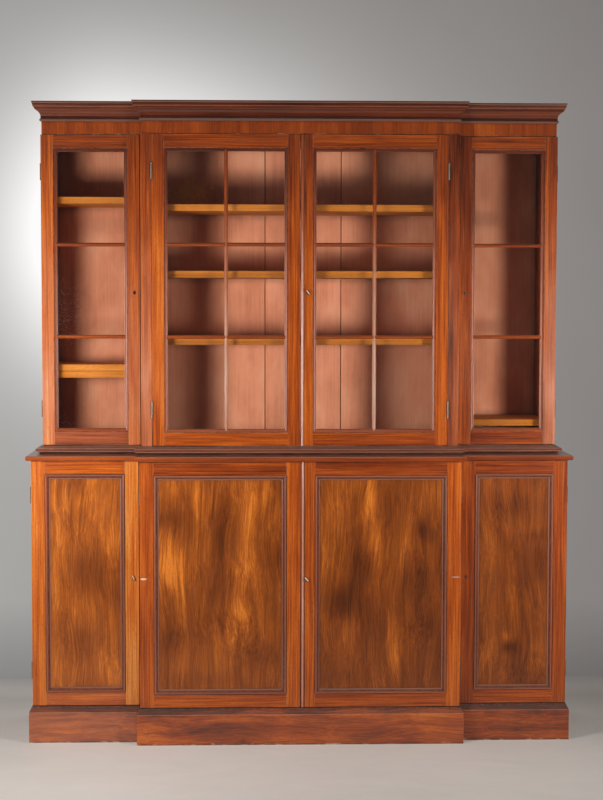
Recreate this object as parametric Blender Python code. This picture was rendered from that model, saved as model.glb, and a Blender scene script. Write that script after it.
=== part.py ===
"""A breakfront library bookcase: a glazed upper case with loose shelves, standing on a cupboard.

The centre of each case stands forward of its wings, and the plinth, waist and cornice
mouldings turn the corners of that break with mitres.  Lengths are in metres, +Z is up,
the doors face -Y, and the origin lies on the floor under the middle of the bookcase.
"""
import math
from collections import namedtuple

import bmesh
import bpy
from mathutils import Matrix, Vector

# Plan of the two cases, from the wall to the door faces
LOWER_DEPTH = 0.430
UPPER_DEPTH = 0.340
BREAK_DEPTH = 0.048
LOWER_HALF_WIDTH = 1.006
UPPER_HALF_WIDTH = 0.972
LOWER_CENTRE_HALF_WIDTH = 0.599
UPPER_CENTRE_HALF_WIDTH = 0.597

# Heights from the floor up
PLINTH_HEIGHT = 0.137
LOWER_CASE_HEIGHT = 0.9265
WAIST_THICKNESS = 0.018
BASE_THICKNESS = 0.030
UPPER_CASE_HEIGHT = 1.1675
FRIEZE_HEIGHT = 0.0465
CORNICE_HEIGHT = 0.0727

# Boards
BOARD = 0.022
BACK_BOARD = 0.012
BACK_JOINTS = (-0.586, -0.130, 0.172, 0.586)
BACK_GROOVE = 0.003
PLINTH_BOARD = 0.030
FRIEZE_BOARD = 0.040
SHELF_THICKNESS = 0.0255
SHELF_SETBACK = 0.036
SHELF_PLAY = 0.0015
STRIP_WIDTH = 0.040
STOP_WIDTH = 0.014
STOP_DEPTH = 0.012

# Mouldings
PLINTH_PROJECTION = 0.013
WAIST_PROJECTION = 0.018
BASE_PROJECTION = 0.024
FRIEZE_INSET = 0.004
CORNICE_PROJECTION = 0.0335

# Doors
DOOR_THICKNESS = 0.024
LOWER_STILE = 0.052
LOWER_RAIL = 0.050
UPPER_STILE = 0.046
UPPER_RAIL = 0.050
PANEL_MOULDING = 0.018
PANEL_MOULDING_RISE = 0.004
PANEL_DEPTH = 0.010
PANEL_THICKNESS = 0.008
GLASS_MOULDING = 0.013
GLASS_DEPTH = 0.011
GLASS_THICKNESS = 0.003
REBATE = 0.008
BAR_WIDTH = 0.014
BAR_SETBACK = 0.002
PANES_HIGH = 3
CENTRE_PANE_COLUMNS = 2
BEAD_WIDTH = 0.0125
BEAD_RISE = 0.004

# Clearances
SEAT = 0.0003
JOINT_GAP = 0.0014
DOOR_GAP = 0.002
MEETING_GAP = 0.002
BREAK_GAP = 0.006
OVERRUN = 0.004

# Butt hinges, and the distance of each one's middle from the end of its door
HINGE_LENGTH = 0.0635
KNUCKLES = 5
KNUCKLE_RADIUS = 0.0035
KNUCKLE_PLAY = 0.0005
PIN_RADIUS = 0.0015
PIN_PLAY = 0.0002
KNUCKLE_STANDOFF = 0.0025
LEAF_THICKNESS = 0.0012
LEAF_WIDTH = 0.018
ROUND_SIDES = 10
UPPER_HINGE_FROM_END = 0.136
LOWER_HINGE_FROM_END = 0.130

# Locks: a bolt in each door with a keyhole, and the keys that were left in three of them
BOLT_LENGTH = 0.030
BOLT_HEIGHT = 0.010
BOLT_THICKNESS = 0.005
BOLT_DEPTH = 0.015
BOLT_RISE = 0.0085
BOLT_INSET = 0.0005
MORTISE_REST = 0.0015
MORTISE_PLAY = 0.0006
WING_THROW = 0.012
CENTRE_THROW = 0.009
KEYHOLE_RADIUS = 0.0027
KEYHOLE_SLOT = 0.0024
KEYHOLE_DROP = 0.0075
LOCK_HALF_WIDTH = 0.0077
LOCK_TOP = 0.0045
LOCK_HALF_DEPTH = 0.0035
KEY_RADIUS = 0.0022
KEY_PROJECTION = 0.0179
BIT_REACH = 0.0065
BIT_WIDTH = 0.005
BIT_THICKNESS = 0.0016
BOW_HALF_HEIGHT = 0.0080
BOW_HALF_LENGTH = 0.0060
BOW_WIRE_RADIUS = 0.0014
BOW_STEPS = 16
UPPER_KEYHOLE_HEIGHT = 0.5793
LOWER_KEYHOLE_HEIGHT = 0.4867
WING_KEYHOLE_INSET = 0.0200
UPPER_CENTRE_KEYHOLE_INSET = 0.0273
LOWER_CENTRE_KEYHOLE_INSET = 0.0213
KEY_LEANS = {"upper_centre_right": -35, "lower_left_wing": 20, "lower_centre_right": -45}

# Shelves, by the height of the underside above the upper case's floor, and their pegs
LEFT_SHELF_HEIGHTS = {"left_shelf_upper": 0.9130, "left_shelf_lower": 0.2530}
CENTRE_SHELF_HEIGHTS = {
    "centre_shelf_top": 0.8840,
    "centre_shelf_middle": 0.6340,
    "centre_shelf_bottom": 0.3800,
}
RIGHT_SHELF_HEIGHTS = {"right_shelf": 0.0680}
PEG_RADIUS = 0.004
PEG_REACH = 0.012
PEG_INSET = 0.050
PEG_SIDES = 6

# Outlines as shares of the projection and the height of their moulding
PLINTH_SHARES = [(1.0, 0.0), (1.0, 0.84), (0.82, 0.86), (0.68, 0.90), (0.40, 0.95), (0.20, 1.0)]
WAIST_SHARES = [(0.72, 0.0), (0.93, 0.10), (1.0, 0.35), (1.0, 0.62), (0.92, 0.86), (0.70, 1.0)]
BASE_SHARES = [(0.42, 0.0), (0.55, 0.13), (0.72, 0.25), (1.0, 0.33), (1.0, 0.68), (0.88, 0.73), (0.16, 1.0)]
CORNICE_SHARES = [
    (0.09, 0.0), (0.18, 0.03), (0.21, 0.075), (0.18, 0.125), (0.09, 0.15),
    (0.09, 0.27), (0.13, 0.37), (0.25, 0.46), (0.42, 0.525), (0.58, 0.57),
    (0.72, 0.65), (0.80, 0.735), (0.865, 0.745), (0.89, 0.80), (1.0, 1.0),
]
PANEL_MOULDING_SHARES = [(0.0, 0.0), (0.05, -0.55), (0.22, -1.0), (0.45, -0.80), (0.62, 0.0)]
PANEL_COVE_SHARES = [(0.75, 0.40), (0.92, 0.72)]
GLASS_MOULDING_SHARES = [(0.0, 0.0), (0.08, 0.14), (0.42, 0.20), (0.75, 0.42), (1.0, 0.80)]
BAR_SHARES = [(-0.5, 0.98), (-0.5, 0.55), (-0.22, 0.0), (0.22, 0.0), (0.5, 0.55), (0.5, 0.98)]

MERGE = 0.00001

Stage = namedtuple("Stage", "half_wing half_centre wing centre")
Hinge = namedtuple("Hinge", "place reach fixed_side")
Lock = namedtuple("Lock", "edge keyhole face height way")

BACK = (LOWER_DEPTH + BREAK_DEPTH + WAIST_PROJECTION) / 2
LOWER = Stage(
    LOWER_HALF_WIDTH,
    LOWER_CENTRE_HALF_WIDTH,
    BACK - LOWER_DEPTH,
    BACK - LOWER_DEPTH - BREAK_DEPTH,
)
UPPER = Stage(
    UPPER_HALF_WIDTH,
    UPPER_CENTRE_HALF_WIDTH,
    BACK - UPPER_DEPTH,
    BACK - UPPER_DEPTH - BREAK_DEPTH,
)

LOWER_FLOOR = PLINTH_HEIGHT + SEAT
LOWER_CEILING = LOWER_FLOOR + LOWER_CASE_HEIGHT
WAIST_FLOOR = LOWER_CEILING + SEAT
BASE_FLOOR = WAIST_FLOOR + WAIST_THICKNESS + SEAT
UPPER_FLOOR = BASE_FLOOR + BASE_THICKNESS + SEAT
UPPER_CEILING = UPPER_FLOOR + UPPER_CASE_HEIGHT
FRIEZE_FLOOR = UPPER_CEILING + SEAT
CORNICE_FLOOR = FRIEZE_FLOOR + FRIEZE_HEIGHT + SEAT

FINISHES = {
    "frame_mahogany": ((0.42, 0.15, 0.045), 0.38, 0.0),
    "carcass_mahogany": ((0.26, 0.085, 0.030), 0.45, 0.0),
    "moulding_mahogany": ((0.12, 0.045, 0.025), 0.42, 0.0),
    "flame_mahogany": ((0.22, 0.10, 0.035), 0.35, 0.0),
    "frieze_veneer": ((0.23, 0.085, 0.030), 0.38, 0.0),
    "shelf_pine": ((0.55, 0.33, 0.12), 0.55, 0.0),
    "painted_back": ((0.55, 0.36, 0.29), 0.75, 0.0),
    "glass": ((0.90, 0.95, 0.94), 0.05, 0.0),
    "brass": ((0.62, 0.47, 0.22), 0.35, 1.0),
    "steel": ((0.55, 0.55, 0.54), 0.38, 1.0),
}


def clear_scene():
    """Remove every object that the scene holds"""
    for item in list(bpy.data.objects):
        bpy.data.objects.remove(item, do_unlink=True)


def new_collection(name):
    """Make a collection in the scene"""
    collection = bpy.data.collections.new(name)
    bpy.context.scene.collection.children.link(collection)
    return collection


def finish_material(slot, node):
    """Give one sub-part its own material in the finish of its kind"""
    colour, roughness, metallic = FINISHES[slot]
    material = bpy.data.materials.new(node)
    material.use_nodes = True
    shader = material.node_tree.nodes["Principled BSDF"]
    shader.inputs["Base Color"].default_value = (*colour, 1.0)
    shader.inputs["Roughness"].default_value = roughness
    shader.inputs["Metallic"].default_value = metallic
    return material


def mirror_x(point, side):
    """Put a point of the right-hand half on the side that is wanted"""
    return (side * point[0], *point[1:])


def box(bm, low, high):
    """Add a block between two corners"""
    low, high = Vector(low), Vector(high)
    made = bmesh.ops.create_cube(bm, size=1.0)["verts"]
    bmesh.ops.scale(bm, vec=high - low, verts=made)
    bmesh.ops.translate(bm, vec=(low + high) / 2, verts=made)


def side_box(bm, side, x_span, y_span, z_span):
    """Add a block on one side of the middle plane, from spans of the right-hand half"""
    xs = sorted(side * x for x in x_span)
    box(bm, (xs[0], y_span[0], z_span[0]), (xs[1], y_span[1], z_span[1]))


def prism(bm, points, low, high):
    """Raise a plan outline from one height to another"""
    face = bm.faces.new([bm.verts.new((x, y, low)) for x, y in points])
    raised = bmesh.ops.extrude_face_region(bm, geom=[face])["geom"]
    verts = [item for item in raised if isinstance(item, bmesh.types.BMVert)]
    bmesh.ops.translate(bm, vec=(0, 0, high - low), verts=verts)
    bmesh.ops.recalc_face_normals(bm, faces=bm.faces)


def rod(bm, start, end, radius, sides):
    """Add a round rod between two points"""
    start, end = Vector(start), Vector(end)
    turn = (end - start).to_track_quat("Z", "Y").to_matrix().to_4x4()
    place = Matrix.Translation((start + end) / 2) @ turn
    bmesh.ops.create_cone(
        bm,
        cap_ends=True,
        segments=sides,
        radius1=radius,
        radius2=radius,
        depth=(end - start).length,
        matrix=place,
    )


def loft(bm, rings, closed):
    """Skin rings of equal count, either round to the first again or capped at both ends"""
    loops = [[bm.verts.new(point) for point in ring] for ring in rings]
    pairs = list(zip(loops, loops[1:]))
    if closed:
        pairs.append((loops[-1], loops[0]))
    else:
        bm.faces.new(loops[0])
        bm.faces.new(loops[-1])
    for lower, upper in pairs:
        count = len(lower)
        for index in range(count):
            after = (index + 1) % count
            bm.faces.new((lower[index], lower[after], upper[after], upper[index]))
    bmesh.ops.recalc_face_normals(bm, faces=bm.faces)


def turned(bm, profile, sides):
    """Turn a profile of radius and height about the Z axis"""
    verts = [bm.verts.new((radius, 0, height)) for radius, height in profile]
    edges = [bm.edges.new(pair) for pair in zip(verts, verts[1:])]
    bmesh.ops.spin(
        bm,
        geom=verts + edges,
        axis=(0, 0, 1),
        cent=(0, 0, 0),
        steps=sides,
        angle=math.tau,
        use_merge=True,
    )
    bmesh.ops.remove_doubles(bm, verts=bm.verts, dist=MERGE)
    bmesh.ops.recalc_face_normals(bm, faces=bm.faces)


class Joiner:
    """Holds the two collections, and turns finished meshes into their objects"""

    def __init__(self):
        self.parts = new_collection("library_bookcase")
        self.cutters = new_collection("cutters")
        self.places = {}

    def part(self, name, bm, slot, origin, parent=None):
        """Make a sub-part with its origin at its own reference point"""
        bmesh.ops.translate(bm, vec=-Vector(origin), verts=bm.verts)
        mesh = bpy.data.meshes.new(name)
        bm.to_mesh(mesh)
        bm.free()
        mesh.materials.append(finish_material(slot, name))
        item = bpy.data.objects.new(name, mesh)
        self.parts.objects.link(item)
        self.stand(item, origin, parent)
        return item

    def stand(self, item, place, parent):
        """Stand an object at a place in the room, carried by its parent"""
        self.places[item] = Vector(place)
        item.location = place
        if parent:
            item.parent = parent
            item.location = Vector(place) - self.places[parent]

    def tool(self, name, bm):
        """Keep a shape that cuts or joins a sub-part"""
        mesh = bpy.data.meshes.new(name)
        bm.to_mesh(mesh)
        bm.free()
        item = bpy.data.objects.new(name, mesh)
        item.hide_render = True
        item.display_type = "WIRE"
        self.cutters.objects.link(item)
        return item

    def pivot(self, name, place, parent=None):
        """Put an empty where pieces turn or slide, to carry them"""
        item = bpy.data.objects.new(name, None)
        self.parts.objects.link(item)
        self.stand(item, place, parent)
        return item


def combine(target, operation, tool):
    """Cut a tool from a sub-part, or join it on"""
    modifier = target.modifiers.new(tool.name, "BOOLEAN")
    modifier.operation = operation
    modifier.solver = "EXACT"
    modifier.object = tool


def breakfront(stage, out, back):
    """Plan corners of the stepped front, moved outwards by one distance all round"""
    half_wing = stage.half_wing + out
    half_centre = stage.half_centre + out
    left = [
        (-half_wing, back),
        (-half_wing, stage.wing - out),
        (-half_centre, stage.wing - out),
        (-half_centre, stage.centre - out),
    ]
    return left + [(-x, y) for x, y in reversed(left)]


def at_height(plan, height):
    """Lift a plan outline to a height"""
    return [(x, y, height) for x, y in plan]


def moulded_rings(stage, shares, projection, floor, height):
    """Mitred rings of a moulding that runs along the front and both ends"""
    return [
        at_height(breakfront(stage, out * projection, BACK), floor + up * height)
        for out, up in shares
    ]


def moulded_board(shop, name, slot, stage, shares, projection, floor, height):
    """Make a solid board with a moulded edge"""
    bm = bmesh.new()
    loft(bm, moulded_rings(stage, shares, projection, floor, height), closed=False)
    return shop.part(name, bm, slot, (0, 0, floor))


def moulded_frame(shop, name, slot, stage, shares, projection, floor, height, width):
    """Make a hollow frame of boards with a moulded face"""
    rings = moulded_rings(stage, shares, projection, floor, height)
    inner = breakfront(stage, -width, BACK - width)
    rings.append(at_height(inner, floor + height))
    rings.append(at_height(inner, floor))
    bm = bmesh.new()
    loft(bm, rings, closed=True)
    return shop.part(name, bm, slot, (0, 0, floor))


def case_front(face):
    """Front edge of the boards that a door closes on"""
    return face + DOOR_THICKNESS + JOINT_GAP


def inner_plan(stage):
    """Plan of a floor or top that lies between the sides and in front of the back"""
    inset = DOOR_THICKNESS + JOINT_GAP
    half_wing = stage.half_wing - BOARD - SEAT
    back = BACK - BACK_BOARD - SEAT
    left = [
        (-half_wing, back),
        (-half_wing, stage.wing + inset),
        (-stage.half_centre, stage.wing + inset),
        (-stage.half_centre, stage.centre + inset),
    ]
    return left + [(-x, y) for x, y in reversed(left)]


def case_side(shop, name, stage, side, floor, ceiling, slot):
    """Make the end board of a case"""
    bm = bmesh.new()
    x_span = (stage.half_wing - BOARD, stage.half_wing)
    side_box(bm, side, x_span, (case_front(stage.wing), BACK), (floor, ceiling))
    return shop.part(name, bm, slot, (side * stage.half_wing, BACK, floor))


def case_back(shop, name, stage, floor, ceiling):
    """Make the boarded back, with a groove at each joint between its boards"""
    half = stage.half_wing - BOARD - SEAT
    front = BACK - BACK_BOARD
    points = [(half, BACK), (-half, BACK), (-half, front)]
    for centre in BACK_JOINTS:
        points.append((centre - BACK_GROOVE / 2, front))
        points.append((centre, front + BACK_GROOVE))
        points.append((centre + BACK_GROOVE / 2, front))
    points.append((half, front))
    bm = bmesh.new()
    prism(bm, points, floor, ceiling)
    return shop.part(name, bm, "painted_back", (0, BACK, floor))


def outer_stop(stage):
    """Plan corners of the partition's outer face, with the strip that the wing door meets"""
    outer = stage.half_centre
    start = case_front(stage.wing)
    return [
        (outer, start),
        (outer + STOP_WIDTH, start),
        (outer + STOP_WIDTH, start + STOP_DEPTH),
        (outer, start + STOP_DEPTH),
        (outer, BACK - BACK_BOARD - SEAT),
        (outer - BOARD, BACK - BACK_BOARD - SEAT),
    ]


def lower_partition(shop, name, side):
    """Make the upright between a wing cupboard and the centre cupboard"""
    outer = LOWER.half_centre
    front = case_front(LOWER.centre)
    points = [(outer, front)] + outer_stop(LOWER) + [(outer - BOARD, front)]
    bm = bmesh.new()
    floor = LOWER_FLOOR + BOARD + SEAT
    prism(bm, [mirror_x(point, side) for point in points], floor, LOWER_CEILING)
    return shop.part(name, bm, "carcass_mahogany", (side * outer, front, floor))


def upper_partition(shop, name, side):
    """Make the upright between glazed cases, with the fixed strip that carries the centre door"""
    outer = UPPER.half_centre
    strip = outer - STRIP_WIDTH
    stop = case_front(UPPER.centre)
    points = [(outer, UPPER.centre)] + outer_stop(UPPER) + [
        (outer - BOARD, stop + STOP_DEPTH),
        (strip - STOP_WIDTH, stop + STOP_DEPTH),
        (strip - STOP_WIDTH, stop),
        (strip, stop),
        (strip, UPPER.centre),
    ]
    bm = bmesh.new()
    prism(bm, [mirror_x(point, side) for point in points], UPPER_FLOOR, UPPER_CEILING)
    item = shop.part(name, bm, "frame_mahogany", (side * outer, UPPER.centre, UPPER_FLOOR))
    notch = bmesh.new()
    x_span = (strip - STOP_WIDTH - OVERRUN, outer + STOP_WIDTH + OVERRUN)
    y_span = (stop - JOINT_GAP, BACK)
    z_span = (UPPER_CEILING - BOARD - SEAT, UPPER_CEILING + OVERRUN)
    side_box(notch, side, x_span, y_span, z_span)
    combine(item, "DIFFERENCE", shop.tool(name + "_top_notch", notch))
    return item


def structure(shop):
    """Make everything that stands still, apart from the shelves"""
    made = {}
    made["plinth"] = moulded_frame(
        shop, "plinth", "moulding_mahogany", LOWER, PLINTH_SHARES,
        PLINTH_PROJECTION, 0, PLINTH_HEIGHT, PLINTH_BOARD,
    )
    floor = bmesh.new()
    prism(floor, inner_plan(LOWER), LOWER_FLOOR, LOWER_FLOOR + BOARD)
    made["lower_bottom"] = shop.part("lower_bottom", floor, "carcass_mahogany", (0, BACK, LOWER_FLOOR))
    made["lower_back"] = case_back(shop, "lower_back", LOWER, LOWER_FLOOR, LOWER_CEILING)
    made["waist_board"] = moulded_board(
        shop, "waist_board", "moulding_mahogany", LOWER, WAIST_SHARES,
        WAIST_PROJECTION, WAIST_FLOOR, WAIST_THICKNESS,
    )
    made["upper_base"] = moulded_board(
        shop, "upper_base", "moulding_mahogany", UPPER, BASE_SHARES,
        BASE_PROJECTION, BASE_FLOOR, BASE_THICKNESS,
    )
    made["upper_back"] = case_back(shop, "upper_back", UPPER, UPPER_FLOOR, UPPER_CEILING)
    top = bmesh.new()
    prism(top, inner_plan(UPPER), UPPER_CEILING - BOARD, UPPER_CEILING)
    made["upper_top"] = shop.part("upper_top", top, "carcass_mahogany", (0, BACK, UPPER_CEILING))
    frieze_stage = Stage(
        UPPER.half_wing - FRIEZE_INSET,
        UPPER.half_centre - FRIEZE_INSET,
        UPPER.wing + FRIEZE_INSET,
        UPPER.centre + FRIEZE_INSET,
    )
    made["frieze"] = moulded_frame(
        shop, "frieze", "frieze_veneer", frieze_stage, [(0, 0), (0, 1)],
        0, FRIEZE_FLOOR, FRIEZE_HEIGHT, FRIEZE_BOARD,
    )
    made["cornice"] = moulded_frame(
        shop, "cornice", "moulding_mahogany", frieze_stage, CORNICE_SHARES,
        CORNICE_PROJECTION, CORNICE_FLOOR, CORNICE_HEIGHT, FRIEZE_BOARD,
    )
    for word, side in (("left", -1), ("right", 1)):
        name = "lower_side_" + word
        made[name] = case_side(
            shop, name, LOWER, side, LOWER_FLOOR, LOWER_CEILING, "carcass_mahogany")
        name = "upper_side_" + word
        made[name] = case_side(
            shop, name, UPPER, side, UPPER_FLOOR, UPPER_CEILING, "carcass_mahogany")
        made["lower_partition_" + word] = lower_partition(shop, "lower_partition_" + word, side)
        made["upper_partition_" + word] = upper_partition(shop, "upper_partition_" + word, side)
    return made


def shelf(shop, name, x_span, face, underside):
    """Make a loose shelf"""
    bm = bmesh.new()
    front = face + DOOR_THICKNESS + SHELF_SETBACK
    back = BACK - BACK_BOARD - SEAT
    low = (x_span[0] + SHELF_PLAY, front, underside)
    high = (x_span[1] - SHELF_PLAY, back, underside + SHELF_THICKNESS)
    box(bm, low, high)
    return shop.part(name, bm, "shelf_pine", (sum(x_span) / 2, back, underside))


def pegs(bm, face_x, direction, front, undersides):
    """Add the pegs that carry the ends of some shelves, on one face of an upright"""
    back = BACK - BACK_BOARD
    for underside in undersides:
        height = UPPER_FLOOR + underside - SEAT - PEG_RADIUS
        for y in (front + PEG_INSET, back - PEG_INSET):
            start = (face_x - direction * OVERRUN, y, height)
            end = (face_x + direction * PEG_REACH, y, height)
            rod(bm, start, end, PEG_RADIUS, PEG_SIDES)


def shelves(shop, made):
    """Make the shelves and the pegs under them"""
    inner = UPPER.half_centre - BOARD
    wing_span = (UPPER.half_centre, UPPER.half_wing - BOARD)
    left_span = (-wing_span[1], -wing_span[0])
    for name, height in LEFT_SHELF_HEIGHTS.items():
        shelf(shop, name, left_span, UPPER.wing, UPPER_FLOOR + height)
    spare = UPPER_FLOOR + LEFT_SHELF_HEIGHTS["left_shelf_lower"] + SHELF_THICKNESS + SEAT
    shelf(shop, "left_shelf_spare", left_span, UPPER.wing, spare)
    for name, height in CENTRE_SHELF_HEIGHTS.items():
        shelf(shop, name, (-inner, inner), UPPER.centre, UPPER_FLOOR + height)
    for name, height in RIGHT_SHELF_HEIGHTS.items():
        shelf(shop, name, wing_span, UPPER.wing, UPPER_FLOOR + height)
    wing_front = UPPER.wing + DOOR_THICKNESS + SHELF_SETBACK
    centre_front = UPPER.centre + DOOR_THICKNESS + SHELF_SETBACK
    for word, side, heights in (("left", -1, LEFT_SHELF_HEIGHTS), ("right", 1, RIGHT_SHELF_HEIGHTS)):
        outer = bmesh.new()
        pegs(outer, side * wing_span[1], -side, wing_front, heights.values())
        combine(made["upper_side_" + word], "UNION", shop.tool(f"side_pegs_{word}", outer))
        middle = bmesh.new()
        pegs(middle, side * wing_span[0], side, wing_front, heights.values())
        pegs(middle, side * inner, -side, centre_front, CENTRE_SHELF_HEIGHTS.values())
        combine(made["upper_partition_" + word], "UNION", shop.tool(f"partition_pegs_{word}", middle))


def frame_rings(low, high, stile, rail, section):
    """Rectangular rings of a door frame, one for each point of its section"""
    rings = []
    for at_sight, inward, depth in section:
        x_in = at_sight * stile + inward
        z_in = at_sight * rail + inward
        rings.append([
            (low[0] + x_in, low[1] + depth, low[2] + z_in),
            (high[0] - x_in, low[1] + depth, low[2] + z_in),
            (high[0] - x_in, low[1] + depth, high[2] - z_in),
            (low[0] + x_in, low[1] + depth, high[2] - z_in),
        ])
    return rings


def glazed_section():
    """Section of a glazed frame, from its outer edge round the moulding and the rebate"""
    section = [(0, 0, 0)]
    section += [(1, across * GLASS_MOULDING, into * GLASS_DEPTH) for across, into in GLASS_MOULDING_SHARES]
    section.append((1, GLASS_MOULDING, GLASS_DEPTH))
    section.append((1, GLASS_MOULDING - REBATE, GLASS_DEPTH))
    section.append((1, GLASS_MOULDING - REBATE, DOOR_THICKNESS))
    section.append((0, 0, DOOR_THICKNESS))
    return section


def panelled_section():
    """Section of a panelled frame, with a raised moulding that runs down to the panel"""
    section = [(0, 0, 0)]
    section += [
        (1, across * PANEL_MOULDING, up * PANEL_MOULDING_RISE)
        for across, up in PANEL_MOULDING_SHARES
    ]
    section += [(1, across * PANEL_MOULDING, into * PANEL_DEPTH) for across, into in PANEL_COVE_SHARES]
    section.append((1, PANEL_MOULDING, PANEL_DEPTH))
    section.append((1, PANEL_MOULDING - REBATE, PANEL_DEPTH))
    section.append((1, PANEL_MOULDING - REBATE, DOOR_THICKNESS))
    section.append((0, 0, DOOR_THICKNESS))
    return section


def bar_rings(start, end, across, face):
    """The two end rings of a glazing bar, whose nose stands a little behind the frame's face"""
    deep = GLASS_DEPTH - BAR_SETBACK
    rings = []
    for place in (start, end):
        ring = []
        for side_share, deep_share in BAR_SHARES:
            offset = Vector(across) * side_share * BAR_WIDTH
            depth = face + BAR_SETBACK + deep_share * deep
            ring.append((place[0] + offset.x, depth, place[1] + offset.z))
        rings.append(ring)
    return rings


def glazing_bars(shop, name, frame, low, high, panes_wide):
    """Join the glazing bars to a glazed frame, in equal panes"""
    sight_low = (low[0] + UPPER_STILE + GLASS_MOULDING, low[2] + UPPER_RAIL + GLASS_MOULDING)
    sight_high = (high[0] - UPPER_STILE - GLASS_MOULDING, high[2] - UPPER_RAIL - GLASS_MOULDING)
    reach = GLASS_MOULDING / 2
    level = bmesh.new()
    for index in range(1, PANES_HIGH):
        z = sight_low[1] + (sight_high[1] - sight_low[1]) * index / PANES_HIGH
        ends = ((sight_low[0] - reach, z), (sight_high[0] + reach, z))
        loft(level, bar_rings(*ends, (0, 0, 1), low[1]), closed=False)
    combine(frame, "UNION", shop.tool(name + "_level_bars", level))
    for index in range(1, panes_wide):
        upright = bmesh.new()
        x = sight_low[0] + (sight_high[0] - sight_low[0]) * index / panes_wide
        ends = ((x, sight_low[1] - reach), (x, sight_high[1] + reach))
        loft(upright, bar_rings(*ends, (1, 0, 0), low[1]), closed=False)
        combine(frame, "UNION", shop.tool(f"{name}_upright_bar_{index}", upright))


def meeting_bead(shop, name, frame, low, high):
    """Join the rounded bead to the edge where the two centre doors meet"""
    middle = low[0] + BEAD_WIDTH / 2
    points = [(low[0], low[1] + BEAD_RISE), (low[0], low[1])]
    steps = ROUND_SIDES // 2
    for index in range(steps + 1):
        turn = math.pi * index / steps
        points.append((
            middle - math.cos(turn) * BEAD_WIDTH / 2,
            low[1] - math.sin(turn) * BEAD_RISE,
        ))
    points.append((low[0] + BEAD_WIDTH, low[1] + BEAD_RISE))
    outline = [points[0]] + points[2:]
    bm = bmesh.new()
    prism(bm, outline, low[2], high[2])
    combine(frame, "UNION", shop.tool(name + "_meeting_bead", bm))


def knuckle_span(index):
    """Lowest and highest point of one knuckle, with its share of the play between them"""
    step = HINGE_LENGTH / KNUCKLES
    low = index * step - HINGE_LENGTH / 2
    play = PIN_PLAY
    bottom = low if index == 0 else low + play
    top = low + step if index == KNUCKLES - 1 else low + step - play
    return bottom, top


def hinge_matrix(hinge, height):
    """Place of a hinge: X runs along its leaves, and Y towards the part that stands still"""
    x, y = Vector(hinge.reach), Vector(hinge.fixed_side)
    turn = Matrix((
        (x.x, y.x, 0, hinge.place[0]),
        (x.y, y.y, 0, hinge.place[1]),
        (0, 0, 1, height),
        (0, 0, 0, 1),
    ))
    return turn


def put(bm, matrix):
    """Move a shape to its place, and face it outwards again if that mirrors it"""
    bmesh.ops.transform(bm, matrix=matrix, verts=bm.verts)
    bmesh.ops.recalc_face_normals(bm, faces=bm.faces)


def comb(bm, indexes, side):
    """Add a leaf with a tab to each of its own knuckles, on one side of the joint"""
    start = KNUCKLE_RADIUS + KNUCKLE_PLAY
    half = HINGE_LENGTH / 2
    points = [(start, -half), (LEAF_WIDTH, -half), (LEAF_WIDTH, half), (start, half)]
    for index in sorted(indexes, reverse=True):
        low, high = knuckle_span(index)
        points += [(start, high), (0, high), (0, low), (start, low)]
    outline = [point for point, last in zip(points, points[-1:] + points) if point != last]
    low, high = sorted((side * SEAT, side * (SEAT + LEAF_THICKNESS)))
    face = bm.faces.new([bm.verts.new((x, low, z)) for x, z in outline])
    moved = bmesh.ops.extrude_face_region(bm, geom=[face])["geom"]
    verts = [item for item in moved if isinstance(item, bmesh.types.BMVert)]
    bmesh.ops.translate(bm, vec=(0, high - low, 0), verts=verts)
    bmesh.ops.remove_doubles(bm, verts=bm.verts, dist=MERGE)
    bmesh.ops.recalc_face_normals(bm, faces=bm.faces)


def fixed_barrel(bm):
    """Add the pin and the knuckles of the leaf that stands still, turned in one piece"""
    profile = [(0, -HINGE_LENGTH / 2)]
    for index in range(0, KNUCKLES, 2):
        low, high = knuckle_span(index)
        if index:
            profile.append((PIN_RADIUS, low))
        profile += [(KNUCKLE_RADIUS, low), (KNUCKLE_RADIUS, high)]
        if index < KNUCKLES - 1:
            profile.append((PIN_RADIUS, high))
    profile.append((0, HINGE_LENGTH / 2))
    turned(bm, profile, ROUND_SIDES)


def clearance_rods(bm, hinge, heights, radius):
    """Add a rod on the hinge line at each hinge, a little longer than the barrel"""
    half = HINGE_LENGTH / 2 + KNUCKLE_PLAY
    for height in heights:
        start = (*hinge.place, height - half)
        end = (*hinge.place, height + half)
        rod(bm, start, end, radius, ROUND_SIDES)


def leaf_recesses(bm, hinge, heights, side):
    """Add the shallow recess for each leaf, on one side of the joint"""
    half = HINGE_LENGTH / 2 + SEAT
    low, high = sorted((-side * OVERRUN, side * (SEAT + LEAF_THICKNESS + SEAT)))
    for height in heights:
        recess = bmesh.new()
        box(recess, (0, low, -half), (LEAF_WIDTH + SEAT, high, half))
        put(recess, hinge_matrix(hinge, height))
        merge_into(bm, recess)


def merge_into(bm, other):
    """Add one mesh's shapes to another, and free it"""
    mesh = bpy.data.meshes.new("passing")
    other.to_mesh(mesh)
    other.free()
    bm.from_mesh(mesh)
    bpy.data.meshes.remove(mesh)


def let_in_hinges(shop, name, carrier, hinge, heights):
    """Cut the recesses for the leaves and barrels into the board that stands still"""
    rods = bmesh.new()
    clearance_rods(rods, hinge, heights, KNUCKLE_RADIUS + KNUCKLE_PLAY)
    combine(carrier, "DIFFERENCE", shop.tool(name + "_barrel_recesses", rods))
    leaves = bmesh.new()
    leaf_recesses(leaves, hinge, heights, 1)
    combine(carrier, "DIFFERENCE", shop.tool(name + "_leaf_recesses", leaves))


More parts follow.
